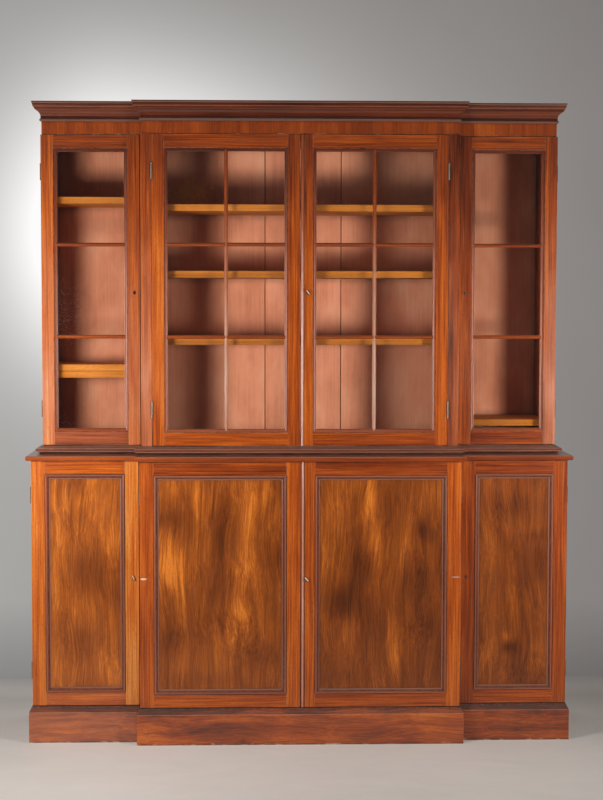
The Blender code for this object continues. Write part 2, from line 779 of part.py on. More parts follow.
def fixed_hinges(shop, name, carrier, hinge, heights):
    """Make each hinge's leaf that stands still, with its knuckles and pin"""
    let_in_hinges(shop, name, carrier, hinge, heights)
    for word, height in zip(("bottom", "top"), heights):
        node = f"{name}_hinge_{word}"
        matrix = hinge_matrix(hinge, height)
        barrel = bmesh.new()
        fixed_barrel(barrel)
        put(barrel, matrix)
        item = shop.part(node, barrel, "brass", (*hinge.place, height))
        leaf = bmesh.new()
        comb(leaf, range(0, KNUCKLES, 2), 1)
        put(leaf, matrix)
        combine(item, "UNION", shop.tool(node + "_leaf", leaf))


def joined_hinges(shop, name, carrier, hinge, heights):
    """Join the knuckles and pins that stand still to the board that carries them"""
    rods = bmesh.new()
    clearance_rods(rods, hinge, heights, KNUCKLE_RADIUS + KNUCKLE_PLAY)
    combine(carrier, "DIFFERENCE", shop.tool(name + "_barrel_recesses", rods))
    leaves = bmesh.new()
    barrels = bmesh.new()
    for height in heights:
        matrix = hinge_matrix(hinge, height)
        leaf = bmesh.new()
        comb(leaf, range(0, KNUCKLES, 2), 1)
        put(leaf, matrix)
        merge_into(leaves, leaf)
        barrel = bmesh.new()
        fixed_barrel(barrel)
        put(barrel, matrix)
        merge_into(barrels, barrel)
    combine(carrier, "UNION", shop.tool(name + "_fixed_leaves", leaves))
    combine(carrier, "UNION", shop.tool(name + "_fixed_barrels", barrels))


def moving_hinges(shop, name, frame, hinge, heights):
    """Join the moving leaves and their bored knuckles to a door's frame"""
    rods = bmesh.new()
    clearance_rods(rods, hinge, heights, KNUCKLE_RADIUS + KNUCKLE_PLAY)
    combine(frame, "DIFFERENCE", shop.tool(name + "_knuckle_recesses", rods))
    leaves = bmesh.new()
    knuckles = bmesh.new()
    for height in heights:
        leaf = bmesh.new()
        comb(leaf, range(1, KNUCKLES, 2), -1)
        put(leaf, hinge_matrix(hinge, height))
        merge_into(leaves, leaf)
        for index in range(1, KNUCKLES, 2):
            low, high = knuckle_span(index)
            start = (*hinge.place, height + low)
            end = (*hinge.place, height + high)
            rod(knuckles, start, end, KNUCKLE_RADIUS, ROUND_SIDES)
    combine(frame, "UNION", shop.tool(name + "_moving_leaves", leaves))
    combine(frame, "UNION", shop.tool(name + "_moving_knuckles", knuckles))
    bores = bmesh.new()
    clearance_rods(bores, hinge, heights, PIN_RADIUS + PIN_PLAY)
    combine(frame, "DIFFERENCE", shop.tool(name + "_pin_bores", bores))


def side_hinge(stage_half_width, face, side):
    """Hinge line of a door that closes over the front edge of its upright"""
    place = (side * (stage_half_width + KNUCKLE_STANDOFF), face + DOOR_THICKNESS + JOINT_GAP / 2)
    return Hinge(place, (-side, 0), (0, 1))


def face_hinge(opening_edge, face, side):
    """Hinge line of a door that closes between two strips, in front of its face"""
    place = (side * (opening_edge - JOINT_GAP / 2), face - KNUCKLE_STANDOFF)
    return Hinge(place, (0, 1), (side, 0))


def door_frame(shop, name, low, high, hinge, glazed):
    """Make a door's frame, on an empty at its hinge line"""
    pivot = shop.pivot(name + "_hinge_line", (*hinge.place, low[2]))
    stile, rail = (UPPER_STILE, UPPER_RAIL) if glazed else (LOWER_STILE, LOWER_RAIL)
    section = glazed_section() if glazed else panelled_section()
    bm = bmesh.new()
    loft(bm, frame_rings(low, high, stile, rail, section), closed=True)
    frame = shop.part(name + "_frame", bm, "frame_mahogany", shop.places[pivot], pivot)
    return frame, pivot


def door_filling(shop, name, low, high, pivot, glazed):
    """Make the sheet of glass or the wooden panel that lies in a frame's rebate"""
    if glazed:
        stile, rail, moulding = UPPER_STILE, UPPER_RAIL, GLASS_MOULDING
        depth, thickness, word, slot = GLASS_DEPTH, GLASS_THICKNESS, "_glass", "glass"
    else:
        stile, rail, moulding = LOWER_STILE, LOWER_RAIL, PANEL_MOULDING
        depth, thickness, word, slot = PANEL_DEPTH, PANEL_THICKNESS, "_panel", "flame_mahogany"
    x_in = stile + moulding - REBATE + SEAT
    z_in = rail + moulding - REBATE + SEAT
    near = low[1] + depth + SEAT
    bm = bmesh.new()
    box(
        bm,
        (low[0] + x_in, near, low[2] + z_in),
        (high[0] - x_in, near + thickness, high[2] - z_in),
    )
    return shop.part(name + word, bm, slot, shop.places[pivot], pivot)


def lock_block(lock, start, end, z_span, half_depth):
    """Add a block beside a door's edge, by distances from the edge and from the keyhole"""
    bm = bmesh.new()
    xs = sorted((lock.edge + lock.way * start, lock.edge + lock.way * end))
    middle = lock.face + BOLT_DEPTH
    low = (xs[0], middle - half_depth, lock.height + z_span[0])
    high = (xs[1], middle + half_depth, lock.height + z_span[1])
    box(bm, low, high)
    return bm


def bolt_heights(play):
    """Lowest and highest point of a bolt over its keyhole, with some play"""
    half = BOLT_HEIGHT / 2 + play
    return BOLT_RISE - half, BOLT_RISE + half


def lock_cuts(shop, name, frame, lock):
    """Cut the keyhole, the room that the key turns in, and the track that the bolt slides in"""
    inside = -BOLT_INSET - BOLT_LENGTH - SEAT
    half = BOLT_THICKNESS / 2 + SEAT
    track = lock_block(lock, inside, OVERRUN, bolt_heights(SEAT), half)
    combine(frame, "DIFFERENCE", shop.tool(name + "_bolt_track", track))
    across = abs(lock.keyhole - lock.edge)
    span = (-across - LOCK_HALF_WIDTH, -across + LOCK_HALF_WIDTH)
    room = lock_block(lock, *span, (-KEYHOLE_DROP, LOCK_TOP), LOCK_HALF_DEPTH)
    combine(frame, "DIFFERENCE", shop.tool(name + "_lock_room", room))
    hole = bmesh.new()
    start = (lock.keyhole, lock.face - OVERRUN, lock.height)
    end = (lock.keyhole, lock.face + BOLT_DEPTH, lock.height)
    rod(hole, start, end, KEYHOLE_RADIUS, ROUND_SIDES)
    combine(frame, "DIFFERENCE", shop.tool(name + "_keyhole", hole))
    slot = bmesh.new()
    low = (lock.keyhole - KEYHOLE_SLOT / 2, start[1], lock.height - KEYHOLE_DROP + SEAT)
    high = (lock.keyhole + KEYHOLE_SLOT / 2, end[1], lock.height)
    box(slot, low, high)
    combine(frame, "DIFFERENCE", shop.tool(name + "_keyhole_slot", slot))


def bolt(shop, name, lock, pivot):
    """Make a lock's bolt, drawn back into its door"""
    bm = lock_block(
        lock, -BOLT_INSET - BOLT_LENGTH, -BOLT_INSET, bolt_heights(0), BOLT_THICKNESS / 2)
    middle = -lock.way * (BOLT_INSET + BOLT_LENGTH / 2)
    place = (lock.edge + middle, lock.face + BOLT_DEPTH, lock.height + BOLT_RISE)
    line = shop.pivot(name + "_bolt_line", place, pivot)
    shop.part(name + "_bolt", bm, "brass", place, line)


def mortise(shop, name, item, lock, gap, throw):
    """Cut the hole that a thrown bolt enters, in the piece that stands beside the door"""
    reach = throw - BOLT_INSET + MORTISE_REST
    half = BOLT_THICKNESS / 2 + MORTISE_PLAY
    bm = lock_block(lock, gap - OVERRUN / 2, reach, bolt_heights(MORTISE_PLAY), half)
    combine(item, "DIFFERENCE", shop.tool(name + "_mortise", bm))


def key_bow(bm):
    """Add the oval ring that a key is turned by, in the plane of its bit"""
    middle = BOW_HALF_LENGTH + BOW_WIRE_RADIUS - KEY_PROJECTION
    rings = []
    for step in range(BOW_STEPS):
        turn = math.tau * step / BOW_STEPS
        out = Vector((0, math.cos(turn), math.sin(turn)))
        centre = Vector((0, middle + out.y * BOW_HALF_LENGTH, out.z * BOW_HALF_HEIGHT))
        ring = []
        for corner in range(PEG_SIDES):
            around = math.tau * corner / PEG_SIDES
            offset = out * math.cos(around) + Vector((math.sin(around), 0, 0))
            ring.append(centre + offset * BOW_WIRE_RADIUS)
        rings.append(ring)
    loft(bm, rings, closed=True)


def key(shop, name, lock, lean, pivot):
    """Make a key, turned a little from the upright that it went in by"""
    place = (lock.keyhole, lock.face, lock.height)
    turn = Matrix.Rotation(-lock.way * math.radians(lean), 4, "Y")
    line = shop.pivot(name + "_key_line", place, pivot)
    end = BOLT_DEPTH + BIT_WIDTH / 2
    shaft_start = 2 * BOW_HALF_LENGTH + BOW_WIRE_RADIUS - KEY_PROJECTION
    shaft, bow, bit = bmesh.new(), bmesh.new(), bmesh.new()
    rod(shaft, (0, shaft_start, 0), (0, end, 0), KEY_RADIUS, ROUND_SIDES)
    key_bow(bow)
    half = BIT_THICKNESS / 2
    box(bit, (-half, end - BIT_WIDTH, -BIT_REACH), (half, end - SEAT, 0))
    for bm in (shaft, bow, bit):
        put(bm, Matrix.Translation(place) @ turn)
    item = shop.part(name + "_key", shaft, "steel", place, line)
    combine(item, "UNION", shop.tool(name + "_key_bow", bow))
    combine(item, "UNION", shop.tool(name + "_key_bit", bit))


def fit_lock(shop, name, frame, lock, pivot, neighbour, centre):
    """Fit a door with its lock, and with its key if one was left in it"""
    lock_cuts(shop, name, frame, lock)
    bolt(shop, name, lock, pivot)
    gap, throw = (MEETING_GAP, CENTRE_THROW) if centre else (BREAK_GAP, WING_THROW)
    mortise(shop, name, neighbour, lock, gap, throw)
    if name in KEY_LEANS:
        key(shop, name, lock, KEY_LEANS[name], pivot)


def place_lock(low, high, side, centre, glazed):
    """Find a door's meeting edge, its keyhole and the way that its bolt is thrown"""
    if centre:
        inset = UPPER_CENTRE_KEYHOLE_INSET if glazed else LOWER_CENTRE_KEYHOLE_INSET
    else:
        inset = WING_KEYHOLE_INSET
    floor, up = (UPPER_FLOOR, UPPER_KEYHOLE_HEIGHT) if glazed else (LOWER_FLOOR, LOWER_KEYHOLE_HEIGHT)
    edge = low[0] if side > 0 else high[0]
    return Lock(edge, edge + side * inset, low[1], floor + up, -side)


def hang(shop, name, stage, side, centre, glazed, made):
    """Make one door, hang it on its upright, and fit its lock"""
    word = "right" if side > 0 else "left"
    level = "upper_" if glazed else "lower_"
    partition = made[f"{level}partition_{word}"]
    carrier = partition if centre else made[f"{level}side_{word}"]
    face = stage.centre if centre else stage.wing
    floor, ceiling = (UPPER_FLOOR, FRIEZE_FLOOR) if glazed else (LOWER_FLOOR, WAIST_FLOOR)
    if centre and glazed:
        edge = stage.half_centre - STRIP_WIDTH
        span = (MEETING_GAP / 2, edge - JOINT_GAP)
        hinge = face_hinge(edge, face, side)
    elif centre:
        span = (MEETING_GAP / 2, stage.half_centre)
        hinge = side_hinge(stage.half_centre, face, side)
    else:
        span = (stage.half_centre + BREAK_GAP, stage.half_wing)
        hinge = side_hinge(stage.half_wing, face, side)
    xs = sorted(side * x for x in span)
    low = (xs[0], face, floor + DOOR_GAP)
    high = (xs[1], face, ceiling - DOOR_GAP)
    frame, pivot = door_frame(shop, name, low, high, hinge, glazed)
    if glazed:
        glazing_bars(shop, name, frame, low, high, CENTRE_PANE_COLUMNS if centre else 1)
    if centre and side > 0:
        meeting_bead(shop, name, frame, low, high)
    from_end = UPPER_HINGE_FROM_END if glazed else LOWER_HINGE_FROM_END
    heights = (low[2] + from_end, high[2] - from_end)
    moving_hinges(shop, name, frame, hinge, heights)
    if glazed:
        fixed_hinges(shop, name, carrier, hinge, heights)
    else:
        joined_hinges(shop, name, carrier, hinge, heights)
    door_filling(shop, name, low, high, pivot, glazed)
    made[name] = frame
    if centre and side < 0:
        return
    neighbour = made[level + "centre_left"] if centre else partition
    lock = place_lock(low, high, side, centre, glazed)
    fit_lock(shop, name, frame, lock, pivot, neighbour, centre)


def doors(shop, made):
    """Make the eight doors"""
    for word, side in (("left", -1), ("right", 1)):
        hang(shop, f"upper_{word}_wing", UPPER, side, False, True, made)
        hang(shop, f"upper_centre_{word}", UPPER, side, True, True, made)
        hang(shop, f"lower_{word}_wing", LOWER, side, False, False, made)
        hang(shop, f"lower_centre_{word}", LOWER, side, True, False, made)


def main():
    """Build the bookcase from the floor up"""
    clear_scene()
    shop = Joiner()
    made = structure(shop)
    shelves(shop, made)
    doors(shop, made)


main()
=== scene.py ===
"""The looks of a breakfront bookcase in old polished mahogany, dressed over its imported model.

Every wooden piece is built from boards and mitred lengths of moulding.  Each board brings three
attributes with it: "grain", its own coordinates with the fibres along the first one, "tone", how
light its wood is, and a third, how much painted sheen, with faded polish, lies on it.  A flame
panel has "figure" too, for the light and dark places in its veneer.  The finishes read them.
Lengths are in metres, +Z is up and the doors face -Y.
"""
import math
from collections import namedtuple

import bmesh
import bpy
from mathutils import Matrix, Vector


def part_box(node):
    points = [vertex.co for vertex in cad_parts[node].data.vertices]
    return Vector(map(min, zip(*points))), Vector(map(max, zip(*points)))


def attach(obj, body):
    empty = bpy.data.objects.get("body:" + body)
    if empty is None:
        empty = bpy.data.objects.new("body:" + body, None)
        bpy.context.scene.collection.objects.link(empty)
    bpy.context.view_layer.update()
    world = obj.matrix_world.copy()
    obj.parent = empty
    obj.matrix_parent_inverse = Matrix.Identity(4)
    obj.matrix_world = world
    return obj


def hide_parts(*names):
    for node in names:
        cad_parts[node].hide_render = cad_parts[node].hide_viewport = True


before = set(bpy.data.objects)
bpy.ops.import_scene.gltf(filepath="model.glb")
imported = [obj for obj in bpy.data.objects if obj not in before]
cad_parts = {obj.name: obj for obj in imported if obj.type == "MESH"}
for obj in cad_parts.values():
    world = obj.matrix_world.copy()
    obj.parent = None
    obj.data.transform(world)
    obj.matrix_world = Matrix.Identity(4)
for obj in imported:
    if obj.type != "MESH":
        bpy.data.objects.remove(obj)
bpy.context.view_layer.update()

X_AXIS, Y_AXIS, Z_AXIS = (1, 0, 0), (0, 1, 0), (0, 0, 1)

# ---------------------------------------------------------------- sizes of the case

BACK = 0.248
DOOR_THICKNESS = 0.024
BOARD = 0.022
BACK_BOARD = 0.012
STRIP_WIDTH = 0.040
STOP_WIDTH = 0.014
STOP_DEPTH = 0.012
PLINTH_BOARD = 0.030
FRIEZE_BOARD = 0.040
FIELD_INSET = 0.070
SEAT = 0.0003
JOINT_GAP = 0.0014
BREAK_GAP = 0.006
MEETING_GAP = 0.002
DOOR_GAP = 0.002
FRIEZE_INSET = 0.004

Stage = namedtuple("Stage", "half_wing half_centre wing centre")
LOWER = Stage(1.006, 0.599, -0.182, -0.230)
UPPER = Stage(0.972, 0.597, -0.092, -0.140)
FRIEZE = Stage(
    UPPER.half_wing - FRIEZE_INSET,
    UPPER.half_centre - FRIEZE_INSET,
    UPPER.wing + FRIEZE_INSET,
    UPPER.centre + FRIEZE_INSET,
)

# Doors
LOWER_STILE = 0.052
UPPER_STILE = 0.046
RAIL = 0.050
PANEL_MOULDING = 0.018
PANEL_DEPTH = 0.010
GLASS_MOULDING = 0.013
GLASS_DEPTH = 0.011
GLASS_THICKNESS = 0.003
REBATE = 0.008
BAR_WIDTH = 0.014
BAR_TONGUE = 0.003
PANES_HIGH = 3
BEAD_WIDTH = 0.0125
BEAD_RISE = 0.004
BEAD_STEPS = 16
BEAD_SIDES = 16
QUIRK = 0.0009

# Hinges
HINGE_LENGTH = 0.0635
KNUCKLES = 5
KNUCKLE_RADIUS = 0.0035
KNUCKLE_GAP = 0.0002
PIN_RADIUS = 0.0015
KNUCKLE_STANDOFF = 0.0025
LEAF_THICKNESS = 0.0012
LEAF_WIDTH = 0.018
SCREW_RADIUS = 0.0026
SCREW_DEPTH = 0.0008
# Screws by shares of half a leaf's length and of its width
SCREW_PLACES = ((-0.68, 0.58), (0.0, 0.72), (0.68, 0.58))
METAL_EASE = 0.0002
LEAF_OVERLAP = 0.001
UPPER_HINGE_FROM_END = 0.136
LOWER_HINGE_FROM_END = 0.130

# Locks and keys
BOLT_DEPTH = 0.015
BOLT_TRACK = 0.0308
BOLT_LOW, BOLT_HIGH = 0.0032, 0.0138
BOLT_HALF_THICKNESS = 0.0028
TRACK_SPARE = 0.004
BOLT_EASE = 0.0003
MORTISE_PLAY, MORTISE_SPARE = 0.0003, 0.002
MORTISE_REACHES = {BREAK_GAP: 0.013, MEETING_GAP: 0.010}
TOOL_SPARE = 0.003
KEYHOLE_RADIUS = 0.0027
KEYHOLE_HALF_SLOT = 0.0012
KEYHOLE_DROP = 0.0072
LOCK_HALF_WIDTH = 0.0077
LOCK_LOW, LOCK_TOP = -0.0075, 0.0045
LOCK_HALF_DEPTH = 0.0035
ESCUTCHEON_RIM = 0.0016
ESCUTCHEON_RISE = 0.0002
ESCUTCHEON_DEPTH = 0.0006
KEY_RADIUS = 0.0021
KEY_PROJECTION = 0.0179
BIT_REACH, BIT_WIDTH, BIT_HALF_THICKNESS = 0.0064, 0.0048, 0.0008
BOW_HALF_HEIGHT, BOW_HALF_LENGTH = 0.0080, 0.0060
BOW_WIRE, BOW_HALF_THICKNESS = 0.0018, 0.0018
KEYHOLE_HEIGHTS = {True: 0.5793, False: 0.4867}
KEYHOLE_INSETS = {True: 0.0273, False: 0.0213}
WING_KEYHOLE_INSET = 0.0200
KEY_LEANS = {"upper_centre_right": -35, "lower_left_wing": 20, "lower_centre_right": -45}
BRIGHT_ESCUTCHEON = "upper_right_wing"
BARE_KEYHOLES = ("upper_left_wing", "lower_left_wing")

FRIEZE_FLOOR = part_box("frieze")[0].z
WAIST_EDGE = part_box("waist_board")[1].z - 0.002
BASE_EDGE = WAIST_EDGE + 0.022
PLINTH_EDGE = 0.1335

# Edges and joints of boards
EASE = 0.0007
SHELF_EASE = 0.0016
BACK_EASE = 0.0009
FINE = 0.00001

# Joints between the painted boards of the back, and their width
BACK_JOINTS = (-0.586, -0.130, 0.172, 0.586)
BACK_JOINT_GAP = 0.0028
# The sheet that closes them, by its distances from the wall
COVER_FRONT, COVER_BACK = 0.003, 0.001

# ---------------------------------------------------------------- tones of the boards
# From 0, a dark red board, to 1, a pale golden one: left stile, right stile, top rail, bottom rail
DOOR_TONES = {
    "upper_left_wing": (0.66, 0.55, 0.52, 0.29),
    "upper_centre_left": (0.57, 0.46, 0.57, 0.46),
    "upper_centre_right": (0.55, 0.45, 0.62, 0.38),
    "upper_right_wing": (0.43, 0.46, 0.62, 0.26),
    "lower_left_wing": (0.66, 0.82, 0.50, 0.54),
    "lower_centre_left": (0.51, 0.52, 0.32, 0.50),
    "lower_centre_right": (0.50, 0.54, 0.33, 0.40),
    "lower_right_wing": (0.39, 0.42, 0.35, 0.43),
}
BACK_TONE, BACK_TONE_SWING, BACK_TONE_STEP = 0.5, 0.05, 2.4
COVER_TONE = 0.12
UPRIGHT_TONE, STOP_TONE, SIDE_TONE, FLOOR_TONE = 0.36, 0.34, 0.44, 0.36
MOULDING_TONE, PUTTY_TONE = 0.30, 0.16
# The upright glazing bars are paler than the level ones, with a strong painted highlight
UPRIGHT_BAR_TONE, UPRIGHT_BAR_SHEEN_FADE, LEVEL_BAR_TONE = 0.56, 0.85, 0.40
SHELF_TONES = {
    "left_shelf_upper": 0.50,
    "left_shelf_lower": 0.52,
    "left_shelf_spare": 0.56,
    "centre_shelf_top": 0.37,
    "centre_shelf_middle": 0.37,
    "centre_shelf_bottom": 0.39,
    "right_shelf": 0.40,
}
# The meeting beads: tone, what rubbing by hands with a painted highlight adds, and where it is
# strongest, by shares of their height; on the lower bead it lies everywhere and more towards its
# top
BEAD_TONE, BEAD_RUBBED_SHEEN = 0.34, 0.52
RUBBED_SHEEN_HEIGHT, RUBBED_SHEEN_REACH = 0.28, 0.34
LOWER_RUBBED_SHEEN = (0.45, 0.25)
STRIP_TONES = {-1: 0.51, 1: 0.33}
# How much painted sheen lies on the left and the right strip
STRIP_SHEEN_FADES = {-1: 0.20, 1: 0.10}
# Painted sheen, with faded polish: left stile, right stile, top rail, bottom rail
DOOR_SHEEN_FADES = {
    "upper_left_wing": (0.22, 0.13, 0.0, 0.08),
    "upper_centre_left": (0.02, 0.0, 0.0, 0.0),
    "upper_right_wing": (0.04, 0.24, 0.0, 0.0),
    "lower_left_wing": (0.0, 0.0, 0.0, 0.16),
}
NO_SHEEN_FADES = (0.0,) * 4
PANEL_TONES = {
    "lower_left_wing": 0.68,
    "lower_centre_left": 0.55,
    "lower_centre_right": 0.46,
    "lower_right_wing": 0.42,
}
# Cuts across a panel's width and height, so that its mesh can carry the figure
PANEL_CUTS = ((0, 36), (2, 60))
# Light and dark places in the figure of the panels, in hundredths: share across, share up, half
# sizes and strength
FIGURE = {
    "lower_left_wing": (
        (48, 56, 22, 13, -29), (55, 24, 22, 6, -14), (25, 90, 30, 7, 14),
        (25, 72, 24, 7, 11), (85, 70, 20, 6, 18), (93, 44, 14, 7, -16),
        (60, 8, 50, 6, 8), (30, 40, 16, 10, 10),
    ),
    "lower_centre_left": (
        (11, 61, 10, 11, 62), (12, 55, 7, 8, 60), (16, 46, 5, 6, 30),
        (9, 80, 16, 5, -24), (15, 95, 14, 5, 16),
        (36, 89, 8, 12, 32), (49, 70, 6, 13, -37), (57, 82, 8, 6, -16),
        (72, 85, 10, 13, 26), (84, 94, 10, 6, 19), (96, 64, 7, 10, -32),
        (70, 60, 8, 10, 19), (44, 49, 10, 10, -21), (15, 37, 12, 9, 18),
        (65, 36, 11, 7, 34), (60, 25, 10, 6, 27), (36, 24, 10, 12, -19),
        (12, 24, 10, 6, -26), (84, 17, 16, 8, -18), (30, 5, 40, 5, -13),
    ),
    "lower_centre_right": (
        (40, 90, 7, 14, 53), (16, 86, 12, 13, 22), (45, 72, 5, 9, 37),
        (69, 71, 5, 9, 21), (32, 60, 6, 13, -34), (57, 84, 8, 15, -22),
        (87, 92, 8, 7, 22), (83, 76, 3, 4.5, -50), (90, 73, 7, 5, -21),
        (19, 41, 12, 8, -34), (82, 50, 14, 11, -27), (24, 29, 10, 9, 14),
        (63, 17, 8, 12, 27), (48, 32, 8, 13, -21), (92, 30, 9, 12, -18),
        (11, 7, 14, 6, -14), (10, 60, 8, 12, 11),
    ),
    "lower_right_wing": (
        (56, 75, 22, 5, 19), (83, 72, 16, 3, -21), (56, 87, 30, 6, -11),
        (88, 61, 14, 8, -24), (28, 41, 26, 8, 18), (42, 24, 6, 3, 32),
        (46, 19, 12, 3, -34), (83, 15, 18, 9, 18), (19, 15, 16, 9, 13),
        (20, 68, 16, 9, 13), (60, 50, 14, 8, -13),
    ),
}


# ---------------------------------------------------------------- wood-working in mesh

def block(low, high):
    """A block between two corners"""
    low, high = Vector(low), Vector(high)
    bm = bmesh.new()
    bmesh.ops.create_cube(bm, size=1.0)
    bmesh.ops.scale(bm, vec=high - low, verts=bm.verts)
    bmesh.ops.translate(bm, vec=(low + high) / 2, verts=bm.verts)
    return bm


def ease(bm, width=EASE, segments=2):
    """Take the sharpness off every edge"""
    bmesh.ops.bevel(
        bm,
        geom=bm.edges[:],
        offset=width,
        offset_type="OFFSET",
        segments=segments,
        profile=0.5,
        affect="EDGES",
        clamp_overlap=True,
        material=-1,
    )
    return bm


def plank(low, high, width=EASE):
    """A planed board with its edges eased"""
    return ease(block(low, high), width)


def extrude_outline(points, sweep):
    """A solid from a closed outline, drawn out along a vector"""
    bm = bmesh.new()
    face = bm.faces.new([bm.verts.new(point) for point in points])
    moved = bmesh.ops.extrude_face_region(bm, geom=[face])["geom"]
    verts = [item for item in moved if isinstance(item, bmesh.types.BMVert)]
    bmesh.ops.translate(bm, vec=sweep, verts=verts)
    bmesh.ops.recalc_face_normals(bm, faces=bm.faces)
    return bm


def slab(plan, low, high):
    """A board cut to a plan outline"""
    return extrude_outline([(x, y, low) for x, y in plan], (0, 0, high - low))


def saw(bm, corner, normal):
    """Saw off what lies beyond a plane, and close the cut"""
    geom = bm.verts[:] + bm.edges[:] + bm.faces[:]
    cut = bmesh.ops.bisect_plane(
        bm, geom=geom, dist=FINE, plane_co=corner, plane_no=normal, clear_outer=True
    )
    edges = [item for item in cut["geom_cut"] if isinstance(item, bmesh.types.BMEdge)]
    bmesh.ops.edgeloop_fill(bm, edges=edges)


def moulding_length(section, start, end, across, rise, over):
    """A length of moulding, its section given by steps across and rise, with spare at both ends"""
    start, end, across, rise = Vector(start), Vector(end), Vector(across), Vector(rise)
    along = (end - start).normalized()
    first = start - along * over
    points = [first + across * a + rise * r for a, r in section]
    return extrude_outline(points, end - start + along * over * 2)


def smooth_line(points, steps=5):
    """Points on a smooth line through the given ones"""
    points = [Vector(point) for point in points]
    ends = [points[0] * 2 - points[1]] + points + [points[-1] * 2 - points[-2]]
    line = []
    for index in range(1, len(ends) - 2):
        before, here, there, after = ends[index - 1: index + 3]
        for step in range(steps):
            t = step / steps
            line.append(
                here
                + (there - before) * (t / 2)
                + (before * 2 - here * 5 + there * 4 - after) * (t * t / 2)
                + (here * 3 - before - there * 3 + after) * (t * t * t / 2)
            )
    line.append(points[-1])
    return [tuple(point) for point in line]


def round_rod(start, end, radius, sides=20):
    """A round rod between two points"""
    start, end = Vector(start), Vector(end)
    turn = (end - start).to_track_quat("Z", "Y").to_matrix().to_4x4()
    bm = bmesh.new()
    bmesh.ops.create_cone(
        bm,
        cap_ends=True,
        segments=sides,
        radius1=radius,
        radius2=radius,
        depth=(end - start).length,
        matrix=Matrix.Translation((start + end) / 2) @ turn,
    )
    return bm


def lathe(profile, steps=24):
    """A piece turned about the Z axis from its radius and height"""
    bm = bmesh.new()
    verts = [bm.verts.new((radius, 0, height)) for radius, height in profile]
    edges = [bm.edges.new(pair) for pair in zip(verts, verts[1:])]
    bmesh.ops.spin(
        bm,
        geom=verts + edges,
        axis=Z_AXIS,
        cent=(0, 0, 0),
        steps=steps,
        angle=math.tau,
        use_merge=True,
    )
    bmesh.ops.remove_doubles(bm, verts=bm.verts, dist=FINE)
    bmesh.ops.recalc_face_normals(bm, faces=bm.faces)
    return bm


class Piece:
    """A piece in the making: every board of it brings its own grain and tone"""

    made = 0

    def __init__(self, name):
        self.name = name
        self.bm = bmesh.new()
        self.grain = self.bm.loops.layers.float_vector.new("grain")
        self.tone = self.bm.faces.layers.float.new("tone")
        self.fade = self.bm.faces.layers.float.new("fade")

    def add(self, board, along=Z_AXIS, tone=0.5, finish=0, show=Y_AXIS, fade=0.0):
        """Join a board on, its fibres along one direction and its face square to another"""
        mesh = bpy.data.meshes.new("board")
        board.to_mesh(mesh)
        board.free()
        first = len(self.bm.faces)
        self.bm.from_mesh(mesh)
        bpy.data.meshes.remove(mesh)
        self.bm.faces.ensure_lookup_table()
        Piece.made += 1
        shift = Vector((0.37, 0.91, 1.73)) * Piece.made
        along = Vector(along).normalized()
        across = along.cross(Vector(show)).normalized()
        deep = along.cross(across)
        for face in self.bm.faces[first:]:
            face[self.tone] = tone
            face[self.fade] = fade
            face.material_index = finish
            for loop in face.loops:
                place = loop.vert.co
                steps = (place.dot(along), place.dot(across), place.dot(deep))
                loop[self.grain] = Vector(steps) + shift
        return self.bm.faces[first:]

    def line(self, faces, origin, rise, lines):
        """Set tone and painted sheen on a moulding's strips between two distances along its rise"""
        for face in faces:
            up = (face.calc_center_median() - Vector(origin)).dot(Vector(rise))
            for low, high, tone, fade in lines:
                if low <= up <= high:
                    face[self.tone] = tone
                    face[self.fade] = fade

    def finish(self, finishes, body, slot, nodes=(), angle=20):
        """Turn the piece into its object, on the body that carries it"""
        mesh = bpy.data.meshes.new(self.name)
        self.bm.to_mesh(mesh)
        self.bm.free()
        mesh.shade_smooth()
        mesh.set_sharp_from_angle(angle=math.radians(angle))
        for material in finishes:
            mesh.materials.append(material)
        item = bpy.data.objects.new(self.name, mesh)
        bpy.context.scene.collection.objects.link(item)
        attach(item, body)
        if nodes:
            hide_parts(*nodes)
        return item


def cut_out(board, tools):
    """Cut shapes out of a board that isn't part of its piece yet"""
    items = []
    for bm in (board, *tools):
        mesh = bpy.data.meshes.new("cut")
        bm.to_mesh(mesh)
        bm.free()
        item = bpy.data.objects.new("cut", mesh)
        bpy.context.scene.collection.objects.link(item)
        items.append(item)
    for tool in items[1:]:
        modifier = items[0].modifiers.new("cut", "BOOLEAN")
        modifier.operation = "DIFFERENCE"
        modifier.solver = "EXACT"
        modifier.object = tool
    depsgraph = bpy.context.evaluated_depsgraph_get()
    result = bpy.data.meshes.new_from_object(items[0].evaluated_get(depsgraph))
    bm = bmesh.new()
    bm.from_mesh(result)
    bpy.data.meshes.remove(result)
    for item in items:
        mesh = item.data
        bpy.data.objects.remove(item)
        bpy.data.meshes.remove(mesh)
    return bm


# ---------------------------------------------------------------- finishes

FLOAT, VECTOR = "NodeSocketFloat", "NodeSocketVector"


def node(tree, kind, **settings):
    """Add a node and set its own properties"""
    made = tree.nodes.new(kind)
    for name, value in settings.items():
        setattr(made, name, value)
    return made


def feed(tree, socket, source):
    """Set an input from a number, a colour or another node's output"""
    if isinstance(source, bpy.types.NodeSocket):
        tree.links.new(source, socket)
    elif hasattr(source, "__len__") and len(source) == 3 and socket.type == "RGBA":
        socket.default_value = (*source, 1.0)
    else:
        socket.default_value = source


def sum_of(tree, operation, first, second=0.0, third=None, clamp=False):
    """One step of arithmetic"""
    made = node(tree, "ShaderNodeMath", operation=operation, use_clamp=clamp)
    feed(tree, made.inputs[0], first)
    feed(tree, made.inputs[1], second)
    if third is not None:
        feed(tree, made.inputs[2], third)
    return made.outputs[0]


def times(tree, first, second):
    """One value times another"""
    return sum_of(tree, "MULTIPLY", first, second)


def swayed(tree, level, noise, amount, clamp=False):
    """A level moved up and down with a noise"""
    return sum_of(tree, "MULTIPLY_ADD", sum_of(tree, "SUBTRACT", noise, 0.5), amount, level, clamp)


